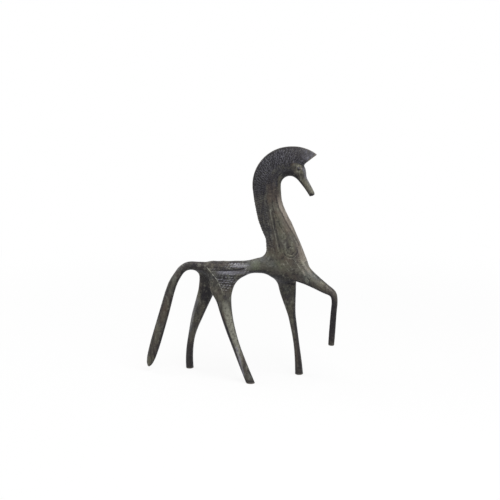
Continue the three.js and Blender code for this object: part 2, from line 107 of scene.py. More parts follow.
# Lines of the drawing on the flanks, in the same profile.
HAUNCH_LINE = (
    (-35.1, 120.1),
    (-30.8, 115.9),
    (-26.5, 111.1),
    (-22.8, 107.5),
    (-19.7, 102.1),
    (-16.7, 96.0),
    (-16.1, 91.9),
)
NECK_RIDGE = ((32.5, 183.2), (35.8, 168.0), (39.1, 154.4), (41.8, 140.5))
NECK_GROOVE = (
    (39.5, 207.5),
    (38.4, 198.1),
    (40.7, 187.7),
    (46.0, 177.4),
    (52.3, 166.0),
    (58.1, 156.8),
    (62.9, 146.4),
    (67.0, 133.0),
)


# Settings


def length_of(name, description, millimetres):
    """A size that is written in millimetres."""
    size = millimetres * MM
    return FloatProperty(name=name, description=description, default=size, unit="LENGTH", precision=5)


def angle_of(name, description, degrees):
    """An angle that is written in degrees."""
    angle = math.radians(degrees)
    return FloatProperty(name=name, description=description, default=angle, subtype="ANGLE")


def colour_of(name, description, *shade):
    """A colour in red, green and blue."""
    return FloatVectorProperty(name=name, description=description, default=shade, size=3, subtype="COLOR")


class SkinSettings(bpy.types.PropertyGroup):
    """Sizes of the cast skin."""

    cell: length_of("Cell", "Edge of the cells that the skin is drawn from", 0.38)
    fillet: length_of("Fillet", "Radius that the corners between the castings are filled to", 3.0)
    wide_fillet: length_of("Wide Fillet", "Radius of the widest hollows, as under the belly", 16.0)
    seam_fill: length_of("Seam Fill", "How far each casting swells to close its seams", 0.16)
    smoothing: IntProperty(name="Smoothing", description="Rounds of smoothing", default=24, min=0)


class ChasingSettings(bpy.types.PropertyGroup):
    """Sizes of the chased marks."""

    stroke_pitch: length_of("Stroke Pitch", "Distance between the mane's strokes along the crest", 2.1)
    stroke_length: length_of("Stroke Length", "Length of a stroke of the mane", 2.2)
    stroke_width: length_of("Stroke Width", "Width of a stroke of the mane", 0.78)
    stroke_height: length_of("Stroke Height", "Height of the strokes over the ground between them", 0.34)
    line_width: length_of("Line Width", "Half width of an incised line", 1.25)
    line_depth: length_of("Line Depth", "Depth of an incised line", 0.45)
    seed: IntProperty(name="Seed", description="Seed of the hand's unevenness", default=7)


class PatinaSettings(bpy.types.PropertyGroup):
    """Colours of the patina, and of the light and shade painted into it."""

    ground: colour_of("Ground", "Dark brown of the bronze", 0.072, 0.064, 0.057)
    # The bluish black of the mane and the hollows, also painted as shade under the body, on the chest
    # front, round the feet and down the shaded edges of the legs and the tail.
    soot: colour_of("Soot and Shade", "Bluish black in the hollows and on the mane", 0.014, 0.013, 0.018)
    olive: colour_of("Olive", "Thin olive film", 0.116, 0.110, 0.082)
    verdigris: colour_of("Verdigris", "Pale green bloom", 0.155, 0.172, 0.120)
    worn: colour_of("Worn", "Pale brown where the film is rubbed away", 0.318, 0.280, 0.238)
    umber: colour_of("Umber", "Warm brown where the bronze shows through", 0.090, 0.068, 0.055)
    slate: colour_of("Slate", "Cool grey of the film on the shaded sides", 0.074, 0.079, 0.078)
    # The grey green of dried dust, also painted as light on the lit fronts, tops and rims of the legs, the
    # face and the tail.
    pale: colour_of("Pale", "Grey green dust that has dried on the bronze", 0.300, 0.302, 0.250)
    # The grey blue, painted as highlights on the loin, the front of the nose, the eye and the rims of the
    # hind legs, and as a tint on the visor, the brow, the face and the far foreleg.
    sheen: colour_of("Blue Tint and Highlight", "Grey blue of the polished loin", 0.300, 0.296, 0.350)


class StageSettings(bpy.types.PropertyGroup):
    """The camera and the lights."""

    azimuth: angle_of("Azimuth", "Angle of the camera round the horse", 10)
    elevation: angle_of("Elevation", "Angle of the camera over the floor", 11)
    distance: length_of("Distance", "Distance of the camera", 1100)
    lens: FloatProperty(name="Lens", description="Focal length in millimetres", default=75.2)
    key: FloatProperty(name="Key", description="Power of the soft key light", default=16.0, unit="POWER")
    surround: FloatProperty(name="Surround", description="Brightness of the white surround", default=0.34)


class HorseSettings(bpy.types.PropertyGroup):
    """All the settings of the horse."""

    skin: PointerProperty(type=SkinSettings)
    chasing: PointerProperty(type=ChasingSettings)
    patina: PointerProperty(type=PatinaSettings)
    stage: PointerProperty(type=StageSettings)


# Small helpers


def step(low, high, values):
    """0 below low, 1 above high, and a smooth rise between them."""
    share = np.clip((values - low) / (high - low), 0, 1)
    return share * share * (3 - 2 * share)


def profile_distance(points, *line):
    """Distance in millimetres, seen from the side, to a broken line of forward and up places."""
    flat = points[:, [0, 2]] / MM
    nearest = np.full(len(flat), 1e9)
    for a, b in zip(line, line[1:]):
        a, run = np.array(a, float), np.array(b, float) - np.array(a, float)
        share = np.clip((flat - a) @ run / (run @ run), 0, 1)
        nearest = np.minimum(nearest, np.linalg.norm(flat - a - share[:, None] * run, axis=1))
    return nearest


def spread(faces, values, count):
    """The sum of a value of each face at every corner's point."""
    corners = faces.shape[1]
    sums = [np.bincount(faces.ravel(), np.repeat(value, corners), count) for value in values.T]
    return np.stack(sums, axis=1)


def facing(points, faces):
    """The way each point of a skin of four-sided faces looks."""
    corner = points[faces]
    normals = np.cross(corner[:, 2] - corner[:, 0], corner[:, 3] - corner[:, 1])
    total = spread(faces, normals, len(points))
    return total / np.maximum(np.linalg.norm(total, axis=1, keepdims=True), 1e-12)


def blurred(values, edges, rounds):
    """Values of the points, each drawn towards its neighbours round after round."""
    count = len(values)
    ends = np.concatenate([edges[:, 0], edges[:, 1]])
    others = np.concatenate([edges[:, 1], edges[:, 0]])
    share = 1 / np.maximum(np.bincount(ends, minlength=count), 1)
    for _ in range(rounds):
        means = [np.bincount(ends, value[others], count) * share for value in values.T]
        values = 0.4 * values + 0.6 * np.stack(means, axis=1)
    return values


# The skin


def casting_triangles(push):
    """All the frame's solids as one set of triangles, each solid swollen a little."""
    points, faces, start = [], [], 0
    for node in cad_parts.values():
        solid = bmesh.new()
        solid.from_mesh(node.data)
        bmesh.ops.remove_doubles(solid, verts=solid.verts, dist=1e-7)
        bmesh.ops.triangulate(solid, faces=solid.faces)
        solid.normal_update()
        solid.verts.index_update()
        points += [tuple(v.co + v.normal * push) for v in solid.verts]
        faces += [[v.index + start for v in f.verts] for f in solid.faces]
        start += len(solid.verts)
        solid.free()
    return np.array(points), np.array(faces, np.uint32)


def offset_skin(points, faces, cell, offset):
    """The skin at a distance from a closed surface, in four-sided faces."""
    sides = "triangles" if faces.shape[1] == 3 else "quads"
    level = openvdb.FloatGrid.createLevelSetFromPolygons(
        (points / cell).astype(np.float32),
        **{sides: faces.astype(np.uint32)},
        halfWidth=abs(offset) / cell + 3,
    )
    found, quads = level.convertToQuads(offset / cell)
    return found.astype(float) * cell, quads


def seam_face(name, way):
    """Middle and normal of the largest flat face of a casting that looks a given way."""
    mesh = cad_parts[name].data
    groups = {}
    for face in mesh.polygons:
        if face.normal.dot(Vector(way)) > 0.6:
            key = (*(round(x, 2) for x in face.normal), round(face.center.dot(face.normal) / MM, 1))
            groups.setdefault(key, []).append(face)
    flat = max(groups.values(), key=lambda faces: sum(f.area for f in faces))
    area = sum(f.area for f in flat)
    middle = sum((f.center * f.area for f in flat), Vector()) / area
    return np.array(middle), np.array(flat[0].normal)


class Part:
    """A closed part of the skin. Each point keeps the way it looked on the whole skin and its relief."""

    def __init__(self, points, notes, quads, triangles, caps):
        self.points = points
        self.notes = notes
        self.quads = quads
        self.triangles = triangles
        self.caps = caps

    def parted(self, field, flat):
        """The part where a field is above nought and the rest, each with a cap over the cut."""
        value = field(self.points)
        value = np.where(np.abs(value) < 2e-6, 2e-6, value)
        inside = value > 0
        held = inside[self.quads].sum(1)
        split = self.quads[(held > 0) & (held < 4)]
        triangles = np.concatenate([self.triangles, split[:, [0, 1, 2]], split[:, [0, 2, 3]], self.caps])
        is_cap = np.arange(len(triangles)) >= len(triangles) - len(self.caps)
        count = inside[triangles].sum(1)
        mixed = (count > 0) & (count < 3)
        crossing, cap_crossing = triangles[mixed], is_cap[mixed]
        odd = np.where(count[mixed] == 1, 1, 0)[:, None] == inside[crossing]
        turn = (odd.argmax(1)[:, None] + np.arange(3)) % 3
        a, b, c = np.take_along_axis(crossing, turn, 1).T
        pairs = np.sort(np.concatenate([np.stack([a, b], 1), np.stack([a, c], 1)]), axis=1)
        edges, where = np.unique(pairs, axis=0, return_inverse=True)
        where = where.ravel() + len(self.points)
        ab, ac = where[: len(a)], where[len(a) :]
        low, high = value[edges[:, 0]], value[edges[:, 1]]
        share = (low / (low - high))[:, None]
        points = self.points[edges[:, 0]] * (1 - share) + self.points[edges[:, 1]] * share
        notes = self.notes[edges[:, 0]] * (1 - share) + self.notes[edges[:, 1]] * share
        self.points = np.concatenate([self.points, points])
        self.notes = np.concatenate([self.notes, notes])
        lone = inside[a]
        tips = np.stack([a, ab, ac], 1)
        rests = np.concatenate([np.stack([ab, b, c], 1), np.stack([ab, c, ac], 1)])
        rest_lone, rest_cap = np.tile(lone, 2), np.tile(cap_crossing, 2)
        follows = dict(zip(np.where(lone, ab, ac).tolist(), np.where(lone, ac, ab).tolist()))
        lids = self.lids(follows, flat)
        parts = []
        for side in (True, False):
            kept, tip, rest = count == 3 * side, lone == side, rest_lone != side
            skin = [triangles[kept & ~is_cap], tips[tip & ~cap_crossing], rests[rest & ~rest_cap]]
            caps = [triangles[kept & is_cap], tips[tip & cap_crossing], rests[rest & rest_cap]]
            caps.append(lids[:, ::-1] if side else lids)
            quads = self.quads[held == 4 * side]
            parts.append(Part(self.points, self.notes, quads, np.concatenate(skin), np.concatenate(caps)))
        return parts

    def lids(self, follows, flat):
        """Triangles that close the loops of a cut."""
        made = []
        while follows:
            start, at = follows.popitem()
            loop = [start]
            while at != start:
                loop.append(at)
                at = follows.pop(at)
            spots = flat(self.points[loop])
            ahead = np.roll(spots, -1, axis=0)
            turn = np.sign(np.sum(spots[:, 0] * ahead[:, 1] - spots[:, 1] * ahead[:, 0]))
            outline = [Vector(spot) for spot in spots]
            found = delaunay_2d_cdt(outline, [], [list(range(len(loop)))], 1, 1e-10)
            for triangle in found[2]:
                corners = [found[3][k][0] for k in triangle]
                p, q, r = (spots[k] for k in corners)
                area = (q[0] - p[0]) * (r[1] - p[1]) - (q[1] - p[1]) * (r[0] - p[0])
                made.append([loop[k] for k in (corners if area * turn > 0 else corners[::-1])])
        return np.array(made, int).reshape(-1, 3)


def plane(point, normal):
    """How far points lie beyond a plane, and their places in it."""
    across = np.cross(normal, (0.0, 1.0, 0.0))
    across /= np.linalg.norm(across)
    axes = np.stack([across, np.cross(normal, across)], 1)
    return lambda p: (p - point) @ normal, lambda p: (p - point) @ axes


def mane_field(points):
    """How far points lie beyond the seam between neck and mane, and how far along it."""
    forward, up = points[:, 0] / MM - ARCH[0], points[:, 2] / MM - ARCH[1]
    radius = np.hypot(forward, up)
    angle = np.degrees(np.arctan2(up, forward))
    angle = np.where(angle < -90, angle + 360, angle)
    front = np.maximum(0, VISOR_ANGLE - angle) * 0.15
    beyond = np.minimum(radius - MANE_SEAM - front, (angle - 20) * 0.5)
    along = np.radians(MANE_LOW_ANGLE - angle) * MANE_SEAM
    turn = math.radians(MANE_LOW_ANGLE)
    top = np.array([math.cos(turn), math.sin(turn)]) * MANE_SEAM
    low = np.array(MANE_FOOT) - np.array(ARCH)
    share = np.linspace(0, 1, 40)[:, None]
    bends = (low, low + (-2.0, 25.0), top + (-1.0, -20.0), top)
    weights = ((1 - share) ** 3, 3 * share * (1 - share) ** 2, 3 * share**2 * (1 - share), share**3)
    line = sum(w * b for w, b in zip(weights, bends))
    lower = angle > MANE_LOW_ANGLE
    beyond = np.where(lower, np.interp(up, line[:, 1], line[:, 0]) - forward, beyond)
    along = np.where(lower, up - top[1], along)
    return beyond * MM, along * MM


def wide_fills(points, faces, settings):
    """The castings and the wide hollows where the legs, the neck, the head and the tail leave the trunk."""
    none, closed = np.zeros((0, 3), int), {}
    castings = points, faces
    for share, *bounds in WIDE_HOLLOWS:
        if share not in closed:
            radius = settings.wide_fillet * share
            cell = max(settings.cell * 1.8, radius / 13)
            closed[share] = offset_skin(*offset_skin(*castings, cell, radius), cell, -radius)
        wide, quads = closed[share]
        fill = Part(wide, np.zeros((len(wide), 4)), quads.astype(np.int64), none, none)
        for (forward, up), (ahead, rise) in bounds:
            place, way = np.array((forward, 0, up)) * MM, np.array((ahead, 0.0, rise))
            fill = fill.parted(*plane(place, way))[0]
        kept = fill.quads
        triangles = np.concatenate([kept[:, [0, 1, 2]], kept[:, [0, 2, 3]], fill.triangles, fill.caps])
        used, where = np.unique(triangles, return_inverse=True)
        faces = np.concatenate([faces, where.reshape(-1, 3) + len(points)])
        points = np.concatenate([points, fill.points[used]])
    return points, faces


def whole_skin(settings):
    """One smooth closed skin over all the castings."""
    points, faces = wide_fills(*casting_triangles(settings.seam_fill), settings)
    points, faces = offset_skin(points, faces, settings.cell * 1.6, settings.fillet)
    points, faces = offset_skin(points, faces, settings.cell, -settings.fillet)
    pairs = np.sort(np.concatenate([faces[:, [k, (k + 1) % 4]] for k in range(4)]), axis=1)
    edges = np.unique(pairs, axis=0).astype(np.int64)
    faces = faces.astype(np.int64)
    for _ in range(2):
        soft = blurred(points, edges, settings.smoothing // 2)
        points = 2 * soft - blurred(soft, edges, settings.smoothing // 2)
    corner = points[faces]
    volume = np.einsum("ij,ij->i", corner[:, 0], np.cross(corner[:, 1], corner[:, 2])).sum()
    if volume < 0:
        faces = faces[:, ::-1]
    points[:, 2] = np.maximum(points[:, 2], 0)
    normals = facing(points, faces)
    relief = np.einsum("ij,ij->i", points - blurred(points, edges, RELIEF_ROUNDS), normals)[:, None] / MM
    none = np.zeros((0, 3), int)
    return Part(points, np.concatenate([normals, relief], 1), faces, none, none)


def all_parts(settings):
    """The skin of every casting by its name."""
    rest = whole_skin(settings)
    made = {}

    def take(name, way, limit=None):
        """Parts a casting from the rest at its seam."""
        nonlocal rest
        middle, normal = seam_face(name, way)
        beyond, flat = plane(middle, -normal)
        field = beyond if limit is None else lambda p: limit(p, beyond(p))
        made[name], rest = rest.parted(field, flat)

    def tail_only(p, beyond):
        forward, up = (x * MM for x in TAIL_SEAM_FOOT)
        over = p[:, 2] - (up + TAIL_SEAM_RISE * (p[:, 0] - forward))
        return np.maximum(np.minimum(beyond, over), TAIL_FORWARD * MM - p[:, 0])

    take("hindquarters", (1, 0, 0))
    front, rest = rest, made["hindquarters"]
    take("tail", (1, 0, 0), tail_only)
    take("right_hind_leg", (0, 0, 1), lambda p, beyond: np.minimum(beyond, -p[:, 1]))
    take("left_hind_leg", (0, 0, 1), lambda p, beyond: np.minimum(beyond, p[:, 1]))
    made["hindquarters"], rest = rest, front
    take("neck", (0, 0, -1))
    front, rest = rest, made["neck"]
    made["mane_crest"], rest = rest.parted(
        lambda p: mane_field(p)[0], lambda p: np.stack([mane_field(p)[1], p[:, 1]], 1)
    )
    take("head", (-1, 0, 0), lambda p, beyond: np.minimum(beyond, p[:, 2] - HEAD_BOTTOM * MM))
    made["neck"], rest = rest, front
    take("left_foreleg", (0, 0, 1), lambda p, beyond: np.minimum(beyond, LEFT_FORE_FRONT * MM - p[:, 0]))
    take("right_foreleg", (-1, 0, 0))
    made["forehand"] = rest
    return made


SKIN = {}


def part_of(name):
    """The skin of one casting. The whole skin is drawn once."""
    if not SKIN:
        SKIN.update(all_parts(bpy.context.scene.bronze_horse.skin))
    return SKIN[name]


# Nodes


class Wire:
    """An output socket that can be written into sums."""

    def __init__(self, net, socket):
        self.net = net
        self.socket = socket

    def named(self, output):
        """Another output of the same node."""
        return Wire(self.net, self.socket.node.outputs[output])

    def _sum(self, operation, *terms):
        vectors = any(isinstance(t, Wire) and t.socket.type == "VECTOR" for t in terms)
        kind = "ShaderNodeVectorMath" if vectors else "ShaderNodeMath"
        return self.net.node(kind, dict(enumerate(terms)), operation=operation)

    def __add__(self, other):
        return self._sum("ADD", self, other)

    def __radd__(self, other):
        return self._sum("ADD", other, self)

    def __sub__(self, other):
        return self._sum("SUBTRACT", self, other)

    def __rsub__(self, other):
        return self._sum("SUBTRACT", other, self)

    def __mul__(self, other):
        return self._sum("MULTIPLY", self, other)

    def __rmul__(self, other):
        return self._sum("MULTIPLY", other, self)

    def __truediv__(self, other):
        return self._sum("DIVIDE", self, other)

    def floor(self):
        """The whole number below."""
        return self._sum("FLOOR", self)

    def scaled(self, factor):
        """A vector times a number."""
        return self.net.node("ShaderNodeVectorMath", {0: self, "Scale": factor}, operation="SCALE")

    def ranged(self, low, high, start=0.0, end=1.0):
        """A smooth change from start to end while this goes from low to high."""
        return self.net.node(
            "ShaderNodeMapRange",
            {"Value": self, "From Min": low, "From Max": high, "To Min": start, "To Max": end},
            interpolation_type="SMOOTHSTEP",
        )


class Net:
    """A node tree that is written as sums."""

    def __init__(self, tree):
        self.tree = tree

    def feed(self, socket, value):
        """Links or sets one input."""
        if isinstance(value, Wire):
            self.tree.links.new(value.socket, socket)
        elif socket.type == "RGBA" and len(value) == 3:
            socket.default_value = (*value, 1.0)
        else:
            socket.default_value = value

    def node(self, kind, sockets=None, output=0, **settings):
        """Adds a node with its settings and inputs, and gives one of its outputs."""
        made = self.tree.nodes.new(kind)
        for name, value in settings.items():
            setattr(made, name, value)
        for key, value in (sockets or {}).items():
            self.feed(made.inputs[key], value)
        return Wire(self, made.outputs[output]) if made.outputs else made


def cleared(block):
    """The empty node tree of a new material or world."""
    block.use_nodes = True
    block.node_tree.nodes.clear()
    return Net(block.node_tree)


def geometry_tree(name, **inputs):
    """A new tree for a modifier, with a mesh in, a mesh out and named inputs of each kind."""
    tree = bpy.data.node_groups.new(name, "GeometryNodeTree")
    tree.interface.new_socket("Geometry", in_out="INPUT", socket_type="NodeSocketGeometry")
    for kind, labels in inputs.items():
        for label in labels:
            tree.interface.new_socket(label, in_out="INPUT", socket_type=f"NodeSocket{kind}")
    tree.interface.new_socket("Geometry", in_out="OUTPUT", socket_type="NodeSocketGeometry")
    net = Net(tree)
    return net, net.node("NodeGroupInput")


def finish_tree(net, mesh, material):
    """Ends a tree in a plain mesh with its material."""
    mesh = net.node("GeometryNodeRealizeInstances", {"Geometry": mesh})
    mesh = net.node("GeometryNodeSetMaterial", {"Geometry": mesh, "Material": material})
    net.node("NodeGroupOutput", {"Geometry": mesh})
    return net.tree


def noted(net, name, kind="FLOAT"):
    """An attribute of the mesh."""
    found = net.node("GeometryNodeInputNamedAttribute", {"Name": name}, data_type=kind)
    return Wire(net, next(s for s in found.socket.node.outputs if s.enabled and s.name == "Attribute"))


def renoted(net, mesh, name, value):
    """The mesh with an attribute raised to a value where that is higher."""
    total = net.node("ShaderNodeMath", {0: value, 1: noted(net, name)}, operation="MAXIMUM")
    sockets = {"Geometry": mesh, "Name": name, "Value": total}
    return net.node("GeometryNodeStoreNamedAttribute", sockets, data_type="FLOAT", domain="POINT")


def profile_reach(net, target):
    """Distance from every point to the edges of a drawing in the horse's profile."""
    place = net.node("GeometryNodeInputPosition")
    flat = net.node("ShaderNodeVectorMath", {0: place, 1: (1.0, 0.0, 1.0)}, operation="MULTIPLY")
    sockets = {"Target": target, "Source Position": flat}
    return net.node("GeometryNodeProximity", sockets, target_element="EDGES").named("Distance")


def stroke_tree():
    """Rows of short raised strokes that follow a guide line."""
    net, given = geometry_tree(
        "Chased Strokes",
        Object=("Guide",),
        Int=("Rows", "Seed"),
        Float=(
            "Row Pitch", "First Row", "Slant", "Unevenness",
            "Stroke Pitch", "Stroke Length", "Stroke Width", "Height",
        ),
        String=("Zone",),
        Material=("Material",),
    )
    guide = net.node("GeometryNodeObjectInfo", {"Object": given.named("Guide")}).named("Geometry")
    pitch = given.named("Stroke Pitch")
    columns = (net.node("GeometryNodeCurveLength", {"Curve": guide}) / pitch).floor()
    index = net.node("GeometryNodeInputIndex")
    row = (index / columns).floor()
    column = index - row * columns

    def uneven(offset):
        value = net.node(
            "FunctionNodeRandomValue",
            {2: -1.0, 3: 1.0, "Seed": given.named("Seed") + offset},
            output=1,
            data_type="FLOAT",
        )
        return value * given.named("Unevenness")

    half_row = row / 2.0
    shift = half_row - half_row.floor()
    along = (column + shift + uneven(1) * 0.5) * pitch
    spot = net.node(
        "GeometryNodeSampleCurve", {"Curves": guide, "Length": along}, output=1, mode="LENGTH"
    )
    ahead = spot.named("Tangent")
    out = net.node("ShaderNodeVectorMath", {0: ahead, 1: (0.0, 1.0, 0.0)}, operation="CROSS_PRODUCT")
    away = given.named("First Row") + (row + uneven(2) * 0.35) * given.named("Row Pitch")
    lean = given.named("Slant") + uneven(3)
    way = out + ahead.scaled(lean)
    points = net.node("GeometryNodePoints", {"Count": columns * given.named("Rows")})
    points = net.node(
        "GeometryNodeSetPosition", {"Geometry": points, "Position": spot + out.scaled(away)}
    )
    half = given.named("Stroke Length") / 2.0
    bow = net.node(
        "GeometryNodeCurveArc",
        {
            "Start": net.node("ShaderNodeCombineXYZ", {"Z": half * -1.0}),
            "Middle": net.node("ShaderNodeCombineXYZ", {"X": half * 0.3}),
            "End": net.node("ShaderNodeCombineXYZ", {"Z": half}),
            "Resolution": 4,
        },
        mode="POINTS",
    )
    turn = net.node("FunctionNodeAlignRotationToVector", {"Vector": way}, axis="Z", pivot_axis="Y")
    size = net.node("ShaderNodeCombineXYZ", {"X": 1.0, "Y": 1.0, "Z": 1.0 + uneven(4) * 0.8})
    marks = net.node(
        "GeometryNodeInstanceOnPoints",
        {"Points": points, "Instance": bow, "Rotation": turn, "Scale": size},
    )
    marks = net.node("GeometryNodeRealizeInstances", {"Geometry": marks})
    marks = net.node("GeometryNodeCurveToMesh", {"Curve": marks})
    zone = noted(net, given.named("Zone"))
    reach = profile_reach(net, marks)
    width = given.named("Stroke Width")
    crown = reach.ranged(width * 0.2, width, 1.0, 0.0) * zone
    lift = (crown * 2.0 - zone) * given.named("Height") * 0.5
    offset = noted(net, "skin_normal", "FLOAT_VECTOR").scaled(lift)
    mesh = net.node("GeometryNodeSetPosition", {"Geometry": given.named("Geometry"), "Offset": offset})
    return finish_tree(net, renoted(net, mesh, "stroke", crown), given.named("Material"))


def line_tree():
    """Lines cut into the flanks, or raised from them where the depth is below nought."""
    net, given = geometry_tree(
        "Incised Lines",
        Object=("Lines",),
        Float=("Width", "Depth"),
        String=("Note",),
        Material=("Material",),
    )
    lines = net.node("GeometryNodeObjectInfo", {"Object": given.named("Lines")}).named("Geometry")
    lines = net.node("GeometryNodeCurveToMesh", {"Curve": lines})
    width = given.named("Width")
    out = noted(net, "skin_normal", "FLOAT_VECTOR")
    side = net.node("ShaderNodeSeparateXYZ", {"Vector": out}).named("Y")
    flank = net.node("ShaderNodeMath", {0: side}, operation="ABSOLUTE").ranged(0.1, 0.45)
    mark = profile_reach(net, lines).ranged(width * 0.15, width, 1.0, 0.0) * flank
    offset = out.scaled(mark * given.named("Depth") * -1.0)
    mesh = net.node("GeometryNodeSetPosition", {"Geometry": given.named("Geometry"), "Offset": offset})
    return finish_tree(net, renoted(net, mesh, given.named("Note"), mark), given.named("Material"))


def tree_named(name, build):
    """A node tree that is built once."""
    return bpy.data.node_groups.get(name) or build()


def drawing(name, *lines):
    """Smooth lines in the horse's profile, forward and up in millimetres. They are drawn once."""
    if name in bpy.data.objects:
        return bpy.data.objects[name]
    curve = bpy.data.curves.new(name, "CURVE")
    curve.dimensions = "3D"
    curve.resolution_u = 8
    for places in lines:
        spline = curve.splines.new("BEZIER")
        spline.bezier_points.add(len(places) - 1)
        for point, (forward, up) in zip(spline.bezier_points, places):
            point.co = (forward * MM, 0, up * MM)
            point.handle_left_type = point.handle_right_type = "AUTO"
    made = bpy.data.objects.new(name, curve)
    bpy.context.scene.collection.objects.link(made)
    return made


def ring(centre, radius, start, turns):
    """Places round a part of a circle."""
    count = round(turns * 14)
    angles = [start + 2 * math.pi * turns * k / count for k in range(count + 1)]
    return [(centre[0] + radius * math.cos(a), centre[1] + radius * math.sin(a)) for a in angles]


def worked(piece, tree, **inputs):
    """Runs a tree on a piece and keeps the plain mesh that it makes."""
    modifier = piece.modifiers.new(tree.name, "NODES")
    modifier.node_group = tree
    for item in tree.interface.items_tree:
        key = item.name.lower().replace(" ", "_")
        if item.in_out == "INPUT" and key in inputs:
            modifier[item.identifier] = inputs[key]
    piece.update_tag()
    graph = bpy.context.evaluated_depsgraph_get()
    made = bpy.data.meshes.new_from_object(piece.evaluated_get(graph))
    old = piece.data
    piece.modifiers.remove(modifier)
    piece.data = made
    bpy.data.meshes.remove(old)
    made.name = piece.name


# Chasing


def bounded(points, line):
    """How far forward of a rising line points lie, in millimetres."""
    forward, up = np.array(sorted(line, key=lambda place: place[1])).T
    return points[:, 0] / MM - np.interp(points[:, 2] / MM, up, forward)


def most(*layers):
    """The strongest of some layers at every point."""
    return np.maximum.reduce(layers)


class Places:
    """Where points lie on the horse: each share is 1 on what it names and 0 away from it."""

    def __init__(self, points, normals):
        self.points, self.normals = points, normals
        self.forward, self.up = points[:, 0] / MM, points[:, 2] / MM
        self.right, self.left = points[:, 1] < 0, points[:, 1] > 0
        self.flank = step(0.1, 0.5, np.abs(normals[:, 1]))
        self.under = step(0.1, 0.75, -normals[:, 2])
        self.back = normals[:, 2] - 0.3 * normals[:, 0]
        self.find_edges()
        self.find_mane()
        self.find_loin()

    def spot(self, centre, across, up, soft=0.6):
        """An oval seen from the side, with a soft rim."""
        flat = (self.points[:, [0, 2]] / MM - np.array(centre)) / np.array((across, up))
        return 1 - step(1 - soft, 1 + soft, np.linalg.norm(flat, axis=1))

    def line(self, width, *places):
        """A broken line seen from the side, with a soft rim."""
        return 1 - step(0.45 * width, 1.5 * width, profile_distance(self.points, *places))

    def find_edges(self):
        """Finds the narrow edges of the legs and the tail."""
        standing = 1 - step(80, 98, self.up)
        raised = step(66, 78, self.forward) * (1 - step(112, 126, self.up))
        limb = most(standing, step(56, 62, -self.forward), raised)
        self.edge = limb * (1 - step(0.2, 0.62, np.abs(self.normals[:, 1])))

    def find_mane(self):
        """Finds the head, the mane with its strokes, and the visor over the brow."""
        radius = np.hypot(self.forward - ARCH[0], self.up - ARCH[1])
        beyond, self.along = (x / MM for x in mane_field(self.points))
        face = step(55, 59, self.forward) * step(190, 193, self.up)
        self.head = face * (1 - step(-4.4, -3.2, beyond))
        # The lower lid, where a painted highlight goes.
        self.lid = self.head * most(
            self.spot((61.4, 223.7), 3.2, 1.3, 0.8),
            0.6 * self.line(0.7, (58.6, 229.0), (62.4, 230.2), (66.0, 229.4)),
        )
        self.mane = step(-5.5, -3.0, beyond) * step(-72, -58, self.along)
        self.crest = self.mane * step(-44, 12, self.along)
        inner = -19.0 + 4.5 * step(-4, 26, self.along)
        middle = step(-36, 20, self.along) * (1 - step(46, 54, self.along))
        self.throat = step(0, 3.2, beyond - inner) * middle
        rim = step(38.4, 39.8, radius) * (self.along > 0)
        self.over = step(ARCH[1] - 6, ARCH[1] + 2, self.up)
        self.visor = step(44, 64, self.along) * step(28, 32, radius) * self.over
        bare = (1 - rim) * (1 - 0.85 * self.visor) * (1 - self.head)
        self.strokes = most(self.crest, 0.8 * self.throat, 0.8 * self.mane) * bare

    def find_loin(self):
        """Finds the punched ground in front of the thigh, and the rows of dashes above it."""
        self.ahead = step(-0.2, 1.6, bounded(self.points, HAUNCH_LINE))
        self.stipple = self.ahead * self.spot((-14, 106), 17, 12, 0.7) * self.flank
        self.gap = self.line(0.8, (-24, 118.4), (-13.5, 118.5), (0.1, 119.6), (5, 120.8)) * self.flank
        length = step(-37, -30, self.forward) * (1 - step(9, 14, self.forward))
        height = step(111.5, 114, self.up) * (1 - step(125, 126.6, self.up))
        faint = 0.75 + 0.25 * step(-24, -6, self.forward)
        plain = 0.7 * step(119, 121, self.up) * (1 - step(-24, -8, self.forward))
        rows = self.ahead * length * height * self.flank
        self.loin = rows * faint * (1 - 0.9 * self.gap) * (1 - plain)


def worn_share(at):
    """Where the film is rubbed away, down the front of the neck and over the chest."""
    front = bounded(at.points, NECK_GROOVE)
    chest = step(112, 124, at.up) * (1 - step(184, 212, at.up)) * step(28, 34, at.forward) * (1 - at.head)
    body = (at.forward < 62 + (130 - at.up) * 0.8) | (at.up > 130)
    return most(
        chest * most(step(-0.6, 1.2, front), 0.42 * step(-6.5, -4.0, front)) * body,
        0.64 * at.line(3.4, (62.5, 150), (65.5, 139), (67.5, 132)),
        0.5 * at.line(3.0, (67.5, 132), (70, 127), (76, 119)),
        0.5 * at.spot((56.6, 233), 2.2, 2.0, 0.8) * at.head,
    )


def bloom_share(at):
    """Where the green bloom lies."""
    return most(
        0.9 * at.spot((17.6, 123.2), 7, 7, 0.9),
        0.5 * at.spot((-28.5, 101.5), 7, 10, 0.9) * at.right,
        0.6 * at.spot((44, 164), 7, 22, 0.9),
        0.6 * at.spot((46, 126), 15, 9, 0.9),
        0.5 * at.spot((29, 124), 14, 8, 0.9),
        0.55 * at.spot((64, 233.4), 5, 2, 0.8),
        0.5 * at.spot((20.5, 226), 4, 7, 0.9),
        0.5 * at.line(1.6, (57, 230.6), (61.5, 231.4), (67, 231)) * at.head,
    )


